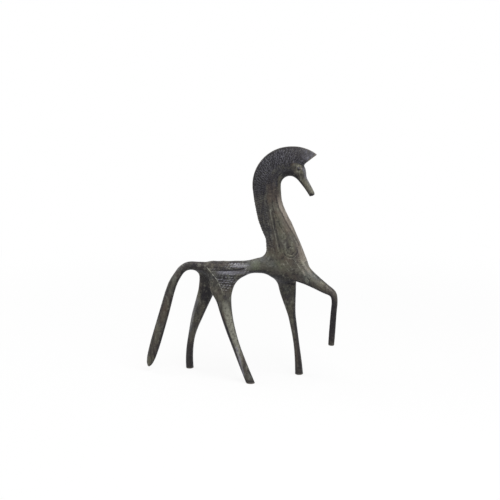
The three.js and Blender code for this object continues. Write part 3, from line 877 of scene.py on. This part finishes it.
def blue_tint_and_highlight_share(at):
    """Where the grey blue lies: painted highlights on the loin, the front of the nose, the eye, the top of
    the mane, the rim of the far hind leg and the near hind shin, and a grey blue tint on the visor, the
    brow, the face and the far foreleg.
    """
    nose = at.head * step(206, 210, at.up) * (1 - step(227, 231, at.up))
    return most(
        # Painted highlights along the loin.
        0.72 * at.spot((2, 123.2), 14, 2.8, 0.9) * at.flank * (1 - at.gap),
        0.8 * at.spot((-7, 116.0), 22, 2.8, 0.9) * at.flank * (1 - at.gap),
        0.55 * at.line(1.3, (-2, 117.5), (4, 118.8), (10.5, 120.8)) * at.flank * (1 - at.gap),
        0.46 * at.visor,
        0.62 * at.spot((63, 234), 5.5, 2.6, 0.8),
        0.2 * at.head * step(212, 220, at.up),
        # Painted highlight on the front of the nose.
        0.58 * step(0.45, 0.8, at.normals[:, 0]) * nose,
        0.3 * at.spot((47, 92), 12, 24, 0.8) * at.left,
        # Painted highlight along the top of the mane.
        0.12 * step(34, 66, at.along) * at.crest * at.over,
        # Painted highlight in the eye.
        0.55 * at.spot((62.0, 227.8), 1.3, 0.9, 0.8) * at.head,
        # Painted highlight down the rim of the far hind leg.
        0.55 * at.line(2.6, (-47.7, 82.3), (-54.6, 64.1), (-59, 45)) * at.left,
        # Painted highlight down the near hind shin.
        0.72 * at.line(1.5, (-0.5, 38), (4.0, 22), (7.5, 9)) * at.right * (1 - at.edge),
    )


def pale_share(at):
    """Where the bronze is paler: grey green dust down the near hind shin, which also stands for the light
    on its front, and painted light on the rim of the far hind leg, the front of the face, the top of the
    muzzle, the lower lid, the top of the raised arm and the upper side of the tail.
    """
    shin = at.line(4.2, (-14, 84), (-10.5, 72), (-6.5, 58), (-2.5, 45), (0.5, 33), (4, 18))
    return most(
        # Dust down the near hind shin, with painted light on its lit front.
        0.9 * shin * (1 - 0.4 * step(66, 94, at.up)) * (1 - 0.75 * step(0, 26, 32 - at.up)) * at.right,
        # Painted light down the rim of the far hind leg.
        0.7 * at.line(2.4, (-47.7, 82.3), (-50.7, 74.5), (-54.6, 64.1), (-58, 52)) * at.left,
        0.95 * at.spot((-44.4, 121.8), 2.5, 2.8, 0.5),
        0.65 * at.spot((66.4, 231.2), 2.2, 1.8, 0.8) * at.head,
        # Painted highlight on the lower lid.
        0.75 * at.lid,
        # Painted light down the front of the face and on the top of the muzzle.
        0.85 * at.line(1.6, (68.4, 226), (70.4, 218.6), (74.4, 210.4), (78.2, 203)) * at.head,
        0.55 * at.line(3.0, (69, 216), (76, 203)) * at.head,
        # Painted light along the top of the raised arm.
        0.5 * at.line(2.2, (64, 125), (76, 115.4), (88, 106.4)) * at.right,
        # Painted light on the upper side of the tail.
        0.25 * step(0.2, 0.8, at.normals[:, 2] - 0.6 * at.normals[:, 0]) * (at.forward < -58),
    )


def soot_and_shade_share(at):
    """Where the bluish black lies: on the mane, round the eyes and in the hollows, and as painted shade
    under the body, on the chest front, round the feet and down the shaded edges of the legs and the tail.
    It is also darker down the far legs.
    """
    return most(
        most(0.95 * at.crest, 0.8 * at.throat) * (1 - at.head),
        0.64 * at.mane,
        0.9 * at.spot((51, 221), 7.5, 9, 0.4) * (1 - 0.5 * at.head),
        # Painted shade under the head.
        0.9 * step(0.1, 0.6, -at.normals[:, 2]) * at.head,
        0.6 * at.line(0.7, (66.0, 228.2), (66.2, 225.2)) * at.head,
        0.7 * at.spot((58.2, 227.6), 1.8, 2.6, 0.8) * at.head,
        0.9 * at.spot((62.8, 227.0), 2.7, 1.9, 0.5) * at.head,
        at.spot((75.2, 199.4), 2.6, 2.2, 0.6),
        0.82 * at.spot((-38, 111), 10, 18, 1.0),
        0.92 * at.gap,
        # Painted shade along the edges of the legs and the tail that face forward and back.
        0.7 * at.edge,
        0.5 * at.line(4.2, (-1, 42), (4, 26), (9, 8)) * at.right,
        0.6 * at.spot((-25, 104), 8, 13, 0.9) * at.right * (1 - at.ahead),
        0.85 * at.spot((-50, 120), 10, 7, 0.9),
        0.85 * at.line(0.8, (53.0, 231.0), (53.8, 234.2), (56.4, 235.8), (59.0, 235.0)),
        0.7 * at.line(0.8, (55.2, 229.4), (58.4, 228.9)) * at.head,
        # Painted shadow of the body on the top of the far foreleg.
        0.8 * at.line(1.5, (36, 111), (49.7, 105.7), (57, 103)) * at.left,
        0.55 * at.spot((53, 60), 7, 18, 0.9) * at.left,
        0.56 * at.head * step(208, 216, at.up) * (1 - at.lid),
        0.85 * at.spot((54.6, 233.8), 3.0, 2.6, 0.8),
        0.7 * at.spot((-13, 119.4), 25, 5.5, 0.7) * at.flank,
        0.7 * at.spot((-13, 107), 16, 12, 0.8) * at.flank,
        0.66 * step(0.4, 0.85, at.back) * (at.forward < 8) * (at.up > 112) * (at.forward > -52),
        0.9 * at.spot((-62, 12), 9, 26) * at.left,
        0.94 * at.spot((-37.5, 89), 9, 16, 0.8) * at.left,
        0.6 * at.spot((-50, 70), 4.5, 22, 0.8) * at.left,
        0.74 * at.spot((-55, 121), 14, 9, 0.9),
        # Painted shade on the forward side of the tail.
        0.7 * step(0.1, 0.8, at.normals[:, 0]) * (at.forward < -56),
        0.95 * at.spot((98, 74), 9, 32) * at.right,
        0.62 * at.spot((60, 24), 12, 42, 0.8) * at.left,
        0.56 * at.spot((46, 92), 14, 26, 0.8) * at.left,
        # Painted shade down the shaded edges of the legs and the tail.
        0.88 * at.line(2.1, (-24, 84), (-18, 70), (-11.5, 56), (-4, 38), (2.5, 20), (8.5, 2)) * at.right,
        0.85 * at.line(2.0, (-31, 87), (-40, 70), (-46, 57), (-50, 38), (-52.5, 20), (-53, 4)) * at.left,
        0.85 * at.line(1.7, (58.5, 97), (56.8, 69), (59.8, 38), (62.4, 8)) * at.left,
        0.85 * at.line(2.3, (-61, 116), (-68.5, 92), (-80.5, 56), (-93.5, 16)),
        0.6 * at.line(1.6, (-74, 106), (-86, 74), (-100, 34), (-103, 18)),
        0.7 * at.line(1.9, (8, 34), (12, 20), (15, 4)) * at.right,
        # Painted contact shadow round the feet.
        0.75 * (1 - step(2, 8, at.up)),
        # Painted shade on the front of the chest.
        0.66 * step(0.86, 0.98, at.normals[:, 0]) * (at.up < 165) * (at.forward > 55) * (at.up > 105),
        # Painted shade on every underside, less under the brow.
        0.9 * at.under * (1 - 0.8 * at.spot((63, 233), 8, 4)),
    )


def brown_share(at):
    """Where the warm bronze shows through."""
    return most(
        0.9 * at.spot((98, 74), 8, 32) * at.right,
        0.6 * at.spot((-80, 62), 12, 34, 0.8),
        0.6 * at.spot((63, 24), 12, 34, 0.8) * at.left,
        0.55 * step(0.4, 0.9, at.back) * (at.forward < 8) * (at.up > 112) * (at.forward > -52),
        0.5 * at.spot((-10, 102), 14, 11, 0.8) * at.right,
        0.25 * at.spot((38, 192), 4, 12, 0.9),
        0.45 * at.spot((55.5, 140.5), 6, 5, 0.8),
        0.75 * at.spot((56, 232.4), 2.6, 2.2, 0.8),
    )


def smooth_share(at):
    """Where wear shows no edges."""
    return most(
        0.85 * at.spot((62.5, 234), 8, 4, 0.8),
        at.spot((75.6, 200), 4, 4),
        0.9 * at.spot((98, 64), 10, 25, 0.5) * at.right,
        0.8 * at.spot((-92, 36), 16, 34, 0.6),
    )


def zones(points, normals):
    """How strongly each finish and each kind of chasing lies on points, by the name of its attribute."""
    at = Places(points, normals)
    return {
        "stroke_zone": at.strokes,
        "barrel_zone": at.loin,
        "haunch_zone": at.stipple,
        # glint is how strongly the crowns of the strokes and dashes are painted as highlights.
        "glint": most((0.26 + 0.1 * at.visor) * at.strokes, at.loin, 0.66 * at.stipple),
        "relief": 1 - smooth_share(at),
        "worn": worn_share(at),
        "bloom": bloom_share(at),
        "sheen": blue_tint_and_highlight_share(at),
        "pale": pale_share(at),
        "brown": brown_share(at),
        "soot": soot_and_shade_share(at),
    }


def face_relief(points, normals):
    """Height of the eyes, ears, nostrils and lips over the face, in millimetres."""
    flat = points[:, [0, 2]] / MM
    flank = step(0.05, 0.4, np.abs(normals[:, 1]))

    def oval(centre, length, depth, tilt):
        along = np.array((math.cos(tilt), math.sin(tilt)))
        across = np.array((-math.sin(tilt), math.cos(tilt)))
        return np.hypot((flat - centre) @ along / length, (flat - centre) @ across / depth)

    eye = oval((62.4, 226.0), 2.9, 2.3, math.radians(30))
    lower = step(-1.6, 1.2, 226.6 - flat[:, 1])
    rise = (0.06 + 0.34 * lower) * np.exp(-(((eye - 1) / 0.24) ** 2))
    rise += 0.4 * np.maximum(0, 1 - (eye / 0.7) ** 2)
    rise -= 0.1 * np.exp(-(((eye - 1.55) / 0.28) ** 2))
    ear = oval((55.4, 230.8), 4.2, 2.1, math.radians(64))
    rise += 0.9 * np.maximum(0, 1 - ear**2) - 0.85 * np.maximum(0, 1 - (ear / 0.6) ** 2)
    brow = profile_distance(points, (65.6, 229.6), (66.4, 222.6))
    rise -= 0.35 * (1 - step(0.1, 0.9, brow))
    nostril = oval((75.0, 204.2), 1.15, 0.75, math.radians(-52))
    rise -= 0.4 * np.maximum(0, 1 - nostril**2)
    lips = profile_distance(points, (73.4, 199.2), (71.2, 204.0))
    rise -= 0.35 * (1 - step(0.1, 0.8, lips))
    corners = [np.hypot(*(flat - place).T) for place in ((74.5, 197.2), (79.2, 200.4))]
    return rise * flank - sum(0.7 * np.exp(-((reach / 1.4) ** 2)) for reach in corners)


def thigh_swell(points, normals):
    """Fullness at the back of the right thigh, in millimetres."""
    forward, side, up = points.T / MM
    height = step(81, 97, up) * (1 - step(95, 112, up))
    length = step(-42, -34, forward) * (1 - step(-20, -14, forward))
    return 2.8 * height * length * step(0.1, 0.8, -normals[:, 0]) * step(2, 8, -side)


def body_relief(points, normals):
    """Height of the thigh's edge, the neck's ridge and the tail's facet over the skin, in millimetres."""
    flank = step(0.15, 0.6, np.abs(normals[:, 1]))
    across = bounded(points, HAUNCH_LINE)
    up = points[:, 2] / MM
    thigh = step(88, 94, up) * (1 - step(117, 121, up))
    rise = 0.6 * thigh * step(-8, -0.6, across) * (1 - step(-0.6, 0.9, across))
    ridge = profile_distance(points, *NECK_RIDGE)
    rise += 0.4 * np.exp(-((ridge / 1.2) ** 2))
    facet = profile_distance(points, (-47.3, 122.9), (-42.3, 124.0), (-43.6, 117.8), (-47.3, 122.9))
    rise -= 0.3 * np.exp(-((facet / 0.8) ** 2))
    return rise * flank + thigh_swell(points, normals)


# Making a piece


def flow_lines(points):
    """Places drawn out along the back, along the neck, and down the limbs and the face."""
    forward, up = points[:, 0] / MM, points[:, 2] / MM
    beyond, along = mane_field(points)
    x, y, z = points.T
    back = step(110, 118, up) * (1 - step(12, 22, forward))
    flow = np.stack([x - 0.6 * back * (x + 10 * MM), y, z], 1)
    neck = np.stack([30 * MM - beyond, y, 135 * MM + 0.14 * (along + 69 * MM)], 1)
    flow += (neck - flow) * (step(122, 140, up) * step(10, 26, forward))[:, None]
    for start, share in (
        (93, 1 - step(84, 102, up)),
        (121, step(48, 60, -forward)),
        (118, step(64, 78, forward) * (1 - step(130, 150, up))),
        (205, step(48, 64, forward) * step(190, 200, up)),
    ):
        limb = np.stack([x, y, start * MM + 0.16 * (z - start * MM)], 1)
        flow += (limb - flow) * share[:, None]
    return flow


def skin_piece(name, detail=None):
    """A piece of skin as an object with its zones noted on it."""
    part = part_of(name)
    used, where = np.unique(
        np.concatenate([part.quads.ravel(), part.triangles.ravel(), part.caps.ravel()]), return_inverse=True
    )
    points, notes = part.points[used], part.notes[used]
    normals = notes[:, :3] / np.maximum(np.linalg.norm(notes[:, :3], axis=1, keepdims=True), 1e-9)
    marks = zones(points, normals)
    flow = flow_lines(points)
    if detail:
        points = points + normals * detail(points, normals)[:, None] * MM
    points[:, 2] = np.maximum(points[:, 2], 0)
    ends = np.cumsum([part.quads.size, part.triangles.size])
    quads, triangles, caps = np.split(where.ravel(), ends)
    faces = quads.reshape(-1, 4).tolist()
    faces += triangles.reshape(-1, 3).tolist() + caps.reshape(-1, 3).tolist()
    mesh = bpy.data.meshes.new(name + "_skin")
    mesh.from_pydata(points.tolist(), [], faces)
    smooth = np.ones(len(faces), bool)
    smooth[len(faces) - len(part.caps) :] = False
    mesh.polygons.foreach_set("use_smooth", smooth)
    for label, values in (("skin_normal", normals), ("flow", flow)):
        mesh.attributes.new(label, "FLOAT_VECTOR", "POINT").data.foreach_set("vector", values.ravel())
    marks["relief"] *= notes[:, 3]
    for blank in ("stroke", "incised", "ridge"):
        marks[blank] = np.zeros(len(points))
    for label, values in marks.items():
        mesh.attributes.new(label, "FLOAT", "POINT").data.foreach_set("value", values.astype(np.float32))
    mesh.update()
    piece = bpy.data.objects.new(name + "_skin", mesh)
    bpy.context.scene.collection.objects.link(piece)
    return piece


def stroke_job(guide, zone, row_pitch, first_row, mark=(1, 1, 1), seed_shift=0, **inputs):
    """Rows of strokes beside a guide. A mark holds shares of the mane's pitch, length and width."""
    chasing = bpy.context.scene.bronze_horse.chasing
    return tree_named("Chased Strokes", stroke_tree), {
        "guide": guide,
        "zone": zone,
        "row_pitch": row_pitch * MM,
        "first_row": first_row * MM,
        "stroke_pitch": chasing.stroke_pitch * mark[0],
        "stroke_length": chasing.stroke_length * mark[1],
        "stroke_width": chasing.stroke_width * mark[2],
        "height": chasing.stroke_height,
        "seed": chasing.seed + seed_shift,
        **inputs,
    }


def mane_strokes():
    """The strokes of the mane, beside its seam from the withers over the poll to the forelock."""
    turns = [math.radians(MANE_LOW_ANGLE - 8 * k) for k in range(20)]
    arch = [(ARCH[0] + MANE_SEAM * math.cos(t), ARCH[1] + MANE_SEAM * math.sin(t)) for t in turns]
    line = ((33.7, 141.0), (31.6, 155.0), (28.6, 172.0), (26.0, 188.0), *arch)
    guide = drawing("mane_guide", line)
    rows = {"rows": 11, "row_pitch": 2.75, "first_row": -18.5}
    return stroke_job(guide, "stroke_zone", slant=0.4, unevenness=0.55, **rows)


def barrel_rows():
    """The rows of dashes along the loin."""
    guide = drawing("barrel_guide", ((-33.0, 113.4), (-12.0, 113.6), (12.0, 115.2)))
    rows = {"rows": 5, "row_pitch": 2.75, "first_row": 0.0, "mark": (1.5, 0.825, 1.17), "seed_shift": 11}
    return stroke_job(guide, "barrel_zone", slant=1.8, unevenness=0.34, **rows)


def haunch_rows():
    """The punched ground in front of the thigh."""
    guide = drawing("haunch_guide", HAUNCH_LINE)
    rows = {"rows": 10, "row_pitch": 2.64, "first_row": 1.6, "mark": (1.4, 0.77, 1.092), "seed_shift": 11}
    return stroke_job(guide, "haunch_zone", slant=0.3, unevenness=0.34, **rows)


def line_job(name, lines, note="incised", width=1.0, depth=1.0):
    """Lines that are cut in, or raised where the depth is below nought."""
    chasing = bpy.context.scene.bronze_horse.chasing
    return tree_named("Incised Lines", line_tree), {
        "lines": drawing(name, *lines),
        "width": chasing.line_width * width,
        "depth": chasing.line_depth * depth,
        "note": note,
    }


def ridge_job(name, *lines):
    """Bright raised edges."""
    return line_job(name, lines, note="ridge", width=0.62, depth=-0.5)


def neck_lines():
    """The grooves that run down the front of the neck on to the chest."""
    second = ((34.7, 194.1), (36.8, 181.6), (42.1, 169.2), (49.0, 158.0))
    beside = [(forward + 2.0, up) for forward, up in NECK_RIDGE]
    return line_job("neck_lines", (NECK_GROOVE[1:-1], second, beside), depth=0.85)


def neck_edge():
    """The bright ridge down the side of the neck."""
    return ridge_job("neck_edge", NECK_RIDGE)


def haunch_edge():
    """The broken bright edge of the thigh."""
    return ridge_job(
        "haunch_edge",
        ((-35.1, 120.1), (-32.6, 117.8), (-30.4, 115.5)),
        ((-28.8, 113.6), (-27.4, 112.0)),
        ((-25.6, 110.3), (-23.6, 108.4), (-22.2, 106.6)),
        ((-21.0, 104.6), (-19.2, 101.2)),
        ((-18.4, 99.6), (-17.2, 97.0), (-16.6, 95.0)),
        ((-16.3, 92.8), (-16.1, 91.9)),
    )


def shoulder_rings():
    """The roundel on the shoulder."""
    centre = (54.6, 141.8)
    rings = ring(centre, 7.2, start=2.2, turns=0.7), ring(centre, 4.0, start=1.0, turns=0.75)
    return line_job("shoulder_rings", rings, depth=0.8)


def shoulder_dashes():
    """The short bright dashes that fall from the roundel to the raised leg."""
    return ridge_job(
        "shoulder_dashes",
        ((47.0, 128.2), (49.6, 125.2)),
        ((51.4, 123.0), (53.8, 120.4)),
        ((50.0, 131.6), (52.8, 127.8)),
        ((54.2, 126.0), (57.2, 122.6)),
        ((58.4, 132.8), (60.6, 129.6)),
        ((62.0, 127.4), (65.0, 123.2)),
        ((66.4, 121.4), (70.4, 116.4)),
        ((71.6, 114.8), (74.8, 110.8)),
        ((57.6, 154.4), (61.0, 148.6)),
    )


def bronze(slot):
    """Patinated bronze for a slot, made once. The finishes, painted light and shade among them, lie where a
    piece's attributes put them.
    """
    name = slot.replace("bronze", "patina")
    if name in bpy.data.materials:
        return bpy.data.materials[name]
    shades = bpy.context.scene.bronze_horse.patina
    material = bpy.data.materials.new(name)
    net = cleared(material)
    place = net.node("ShaderNodeTexCoord", output=3)
    drawn = net.node("ShaderNodeAttribute", output=1, attribute_name="flow")

    def note(label):
        return net.node("ShaderNodeAttribute", output=2, attribute_name=label)

    def noise(scale, detail=4.0, rough=0.55, where=place, noise_dimensions="3D", **more):
        sockets = {"Vector": where, "Scale": scale, "Detail": detail, "Roughness": rough, **more}
        return net.node("ShaderNodeTexNoise", sockets, noise_dimensions=noise_dimensions)

    cloud = noise(75.0, Distortion=0.6)
    tone = noise(48.0, 3.0, W=5.0, noise_dimensions="4D")
    blotch = noise(230.0, 5.0, 0.65)
    mottle = noise(430.0, 4.0, 0.7)
    grain = noise(760.0, 3.0, 0.65)
    streak = noise(330.0, 4.0, 0.6, drawn)
    fleck = net.node("ShaderNodeTexVoronoi", {"Vector": place, "Scale": 480.0})
    broken = (blotch - 0.5) * 1.1 + (streak - 0.5) * 0.9 + (mottle - 0.5) * 0.9 + (grain - 0.5) * 0.5

    def film(label, low, high, strength):
        return (note(label) + broken * 0.6).ranged(low, high) * strength

    def blend(first, second, factor):
        sockets = {0: factor, 6: first, 7: second}
        return net.node("ShaderNodeMix", sockets, 2, data_type="RGBA")

    relief = note("relief")
    # Painted highlights on the crowns of the strokes, from pale where the bronze is light to grey blue
    # where it is dark.
    glint = blend(shades.pale, shades.sheen, note("soot").ranged(0.2, 0.8))
    lit = note("stroke").ranged(0.3, 0.95) * (blotch * 0.5 + mottle * 0.3 + cloud * 0.2).ranged(0.38, 0.58)
    colour = blend(shades.ground, shades.olive, cloud.ranged(0.4, 0.66))
    for shade, share in (
        (shades.umber, (tone + broken * 0.12).ranged(0.5, 0.66) * 0.75),
        (shades.slate, (tone + broken * 0.12).ranged(0.48, 0.32) * 0.75),
        (shades.soot, streak.ranged(0.5, 0.72) * STREAKS[slot]),
        (shades.pale, (streak * 0.5 + blotch * 0.5).ranged(0.5, 0.34) * 0.45),
        (shades.verdigris, film("bloom", 0.3, 0.95, 0.85) * grain.ranged(0.36, 0.6, 1.0, 0.6)),
        (shades.worn, film("worn", 0.25, 0.95, 0.95) * streak.ranged(0.34, 0.6, 1.0, 0.55)),
        (shades.pale, film("pale", 0.3, 0.95, 0.95) * mottle.ranged(0.36, 0.64, 1.0, 0.35)),
        (shades.umber, film("brown", 0.25, 0.95, 0.85)),
        (shades.soot, film("soot", 0.3, 0.9, 0.9)),
        (shades.sheen, film("sheen", 0.3, 1.0, 0.75)),
        (shades.soot, note("incised").ranged(0.1, 1.0) * broken.ranged(-0.2, 0.25, 0.1, 0.75)),
        (glint, lit * note("glint")),
        (shades.pale, note("ridge").ranged(0.3, 1.0) * (grain.ranged(0.36, 0.58) * 0.62)),
        (shades.worn, (relief + broken * 0.12).ranged(0.1, 0.34) * 0.4),
        (shades.soot, (relief - broken * 0.1).ranged(-0.06, -0.36) * 0.75),
        (shades.soot, (grain * 0.4 + mottle * 0.6).ranged(0.51, 0.65) * 0.66),
        (shades.pale, (grain * 0.3 + mottle * 0.7).ranged(0.46, 0.35) * 0.14),
        (shades.pale, fleck.ranged(0.2, 0.06) * blotch.ranged(0.46, 0.6) * 0.4),
    ):
        colour = blend(colour, shade, share)
    rough = 0.46 + (grain - 0.5) * 0.4 + (cloud - 0.5) * 0.2
    height = grain * 0.5 + blotch * 0.9 - fleck.ranged(0.2, 0.02) * 0.25
    bump = net.node("ShaderNodeBump", {"Strength": 0.4, "Distance": 0.35 * MM, "Height": height})
    shader = net.node(
        "ShaderNodeBsdfPrincipled",
        {
            "Base Color": colour,
            "Roughness": rough,
            "Metallic": 0.3,
            "Specular IOR Level": 0.22,
            "Normal": bump,
        },
    )
    net.node("ShaderNodeOutputMaterial", {"Surface": shader})
    return material


def sharpened(piece):
    """Marks the rims of the hidden caps as sharp, so that the skin shades smoothly up to its seams."""
    solid = bmesh.new()
    solid.from_mesh(piece.data)
    for edge in solid.edges:
        flats = [not f.smooth for f in edge.link_faces]
        edge.smooth = not (any(flats) and not all(flats))
    solid.to_mesh(piece.data)
    solid.free()


def dress(name, slot, detail=None, *jobs):
    """Makes a casting's skin, chases it, and sets it in the frame in place of the casting."""
    material = bronze(slot)
    piece = skin_piece(name, detail)
    for tree, inputs in jobs:
        worked(piece, tree, material=material, **inputs)
    if not jobs:
        piece.data.materials.append(material)
    for label in ("skin_normal", "stroke_zone", "barrel_zone", "haunch_zone"):
        piece.data.attributes.remove(piece.data.attributes[label])
    sharpened(piece)
    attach(piece, "root")
    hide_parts(name)


# Operators


class HORSE_OT_hindquarters(bpy.types.Operator):
    """Makes the rump, the haunches and the loin"""

    bl_idname = "horse.hindquarters"
    bl_label = "Hindquarters"

    def execute(self, context):
        dress("hindquarters", "bronze_body", body_relief, barrel_rows(), haunch_rows(), haunch_edge())
        return {"FINISHED"}


class HORSE_OT_forehand(bpy.types.Operator):
    """Makes the barrel and the chest with its roundel"""

    bl_idname = "horse.forehand"
    bl_label = "Forehand"

    def execute(self, context):
        strokes = barrel_rows(), mane_strokes()
        lines = neck_lines(), shoulder_rings(), shoulder_dashes(), neck_edge()
        dress("forehand", "bronze_body", body_relief, *strokes, *lines)
        return {"FINISHED"}


class HORSE_OT_neck(bpy.types.Operator):
    """Makes the throat side of the neck"""

    bl_idname = "horse.neck"
    bl_label = "Neck"

    def execute(self, context):
        dress("neck", "bronze_body", body_relief, mane_strokes(), neck_lines(), neck_edge())
        return {"FINISHED"}


class HORSE_OT_mane(bpy.types.Operator):
    """Makes the chased mane"""

    bl_idname = "horse.mane"
    bl_label = "Mane"

    def execute(self, context):
        dress("mane_crest", "bronze_mane", body_relief, mane_strokes())
        return {"FINISHED"}


class HORSE_OT_head(bpy.types.Operator):
    """Makes the face with its eyes and ears"""

    bl_idname = "horse.head"
    bl_label = "Head"

    def execute(self, context):
        dress("head", "bronze_body", face_relief, mane_strokes())
        return {"FINISHED"}


class HORSE_OT_legs(bpy.types.Operator):
    """Makes the four legs"""

    bl_idname = "horse.legs"
    bl_label = "Legs"

    def execute(self, context):
        for name in LEGS:
            dress(name, "bronze_legs", thigh_swell)
        return {"FINISHED"}


class HORSE_OT_tail(bpy.types.Operator):
    """Makes the hanging tail"""

    bl_idname = "horse.tail"
    bl_label = "Tail"

    def execute(self, context):
        dress("tail", "bronze_tail")
        return {"FINISHED"}


class HORSE_OT_fixings(bpy.types.Operator):
    """Finishes the pins and pegs that lock the castings"""

    bl_idname = "horse.fixings"
    bl_label = "Fixings"

    def execute(self, context):
        for name in FIXINGS:
            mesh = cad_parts[name].data
            mesh.materials.clear()
            mesh.materials.append(bronze("bronze_fixing"))
        return {"FINISHED"}


def white_surround(net, lit, shown):
    """A surround that looks white to the camera and in reflections, and lights softly."""
    path = net.node("ShaderNodeLightPath")
    seen = path.named("Is Camera Ray") + path.named("Is Glossy Ray") + path.named("Is Transmission Ray")
    return net.node("ShaderNodeMixShader", {0: seen.ranged(0.0, 1.0), 1: lit, 2: shown})


def studio_world(strength):
    """A white surround that lights with a given strength."""
    world = bpy.data.worlds.new("studio")
    net = cleared(world)
    lit = net.node("ShaderNodeBackground", {"Color": (1.0, 1.0, 1.0), "Strength": strength})
    shown = net.node("ShaderNodeBackground", {"Color": (1.0, 1.0, 1.0), "Strength": 1.0})
    net.node("ShaderNodeOutputWorld", {"Surface": white_surround(net, lit, shown)})
    return world


def pale_floor():
    """A pale floor that fades into the surround."""
    sheet = bpy.data.meshes.new("floor")
    corners = [(x * FLOOR_REACH, y * FLOOR_REACH, 0) for x, y in ((-1, -1), (1, -1), (1, 1), (-1, 1))]
    sheet.from_pydata(corners, [], [(0, 1, 2, 3)])
    pale = bpy.data.materials.new("pale_floor")
    net = cleared(pale)
    matt = net.node("ShaderNodeBsdfDiffuse", {"Color": (0.86, 0.86, 0.86)})
    dim = net.node("ShaderNodeBsdfDiffuse", {"Color": (0.4, 0.4, 0.4)})
    glow = net.node("ShaderNodeEmission", {"Color": (1.0, 1.0, 1.0), "Strength": 1.0})
    place = net.node("ShaderNodeTexCoord", output=3)
    away = net.node("ShaderNodeVectorMath", {0: place}, output=1, operation="LENGTH")
    lifted = net.node("ShaderNodeMixShader", {0: away.ranged(0.2, 0.8, 0.87, 1.0), 1: matt, 2: glow})
    net.node("ShaderNodeOutputMaterial", {"Surface": white_surround(net, dim, lifted)})
    sheet.materials.append(pale)
    return bpy.data.objects.new("floor", sheet)


def aimed(name, data, place):
    """A lamp or a camera that looks at the middle of the picture."""
    made = bpy.data.objects.new(name, data)
    made.location = place
    made.rotation_euler = (PICTURE_MIDDLE - Vector(place)).to_track_quat("-Z", "Y").to_euler()
    bpy.context.scene.collection.objects.link(made)
    return made


class HORSE_OT_stage(bpy.types.Operator):
    """Sets the floor, the soft studio light and the camera"""

    bl_idname = "horse.stage"
    bl_label = "Stage"

    def execute(self, context):
        scene, settings = context.scene, context.scene.bronze_horse.stage
        scene.view_settings.view_transform = "Standard"
        scene.world = studio_world(settings.surround)
        floor = pale_floor()
        scene.collection.objects.link(floor)
        for name, (place, share, width) in LAMPS.items():
            light = bpy.data.lights.new(name, "AREA")
            light.energy, light.size = settings.key * share, width
            aimed(name, light, place)
        turn, rise = settings.azimuth, settings.elevation
        level = math.cos(rise)
        back = Vector((math.sin(turn) * level, -math.cos(turn) * level, math.sin(rise)))
        data = bpy.data.cameras.new("camera")
        data.lens, data.sensor_width = settings.lens, SENSOR_WIDTH
        scene.camera = aimed("camera", data, PICTURE_MIDDLE + back * settings.distance)
        return {"FINISHED"}


class HORSE_PT_panel(bpy.types.Panel):
    """Lists the pieces of the horse and their settings"""

    bl_idname = "HORSE_PT_panel"
    bl_label = "Bronze Horse"
    bl_space_type = "VIEW_3D"
    bl_region_type = "UI"
    bl_category = "Bronze Horse"

    def draw(self, context):
        settings = context.scene.bronze_horse
        for group in (settings.skin, settings.chasing, settings.patina, settings.stage):
            box = self.layout.box()
            for name in group.__annotations__:
                box.prop(group, name)
        for operator in OPERATORS:
            self.layout.operator(operator.bl_idname)


OPERATORS = (
    HORSE_OT_hindquarters,
    HORSE_OT_forehand,
    HORSE_OT_neck,
    HORSE_OT_mane,
    HORSE_OT_head,
    HORSE_OT_legs,
    HORSE_OT_tail,
    HORSE_OT_fixings,
    HORSE_OT_stage,
)
GROUPS = (SkinSettings, ChasingSettings, PatinaSettings, StageSettings, HorseSettings)
CLASSES = (*GROUPS, *OPERATORS, HORSE_PT_panel)


def register():
    for cls in CLASSES:
        bpy.utils.register_class(cls)
    bpy.types.Scene.bronze_horse = PointerProperty(type=HorseSettings)


def unregister():
    del bpy.types.Scene.bronze_horse
    for cls in reversed(CLASSES):
        bpy.utils.unregister_class(cls)


def main():
    """Makes every piece in turn."""
    register()
    bpy.ops.horse.hindquarters()
    bpy.ops.horse.forehand()
    bpy.ops.horse.neck()
    bpy.ops.horse.mane()
    bpy.ops.horse.head()
    bpy.ops.horse.legs()
    bpy.ops.horse.tail()
    bpy.ops.horse.fixings()
    for guide in [o for o in bpy.data.objects if o.type == "CURVE"]:
        bpy.data.objects.remove(guide)
    bpy.ops.horse.stage()


if __name__ == "__main__":
    main()
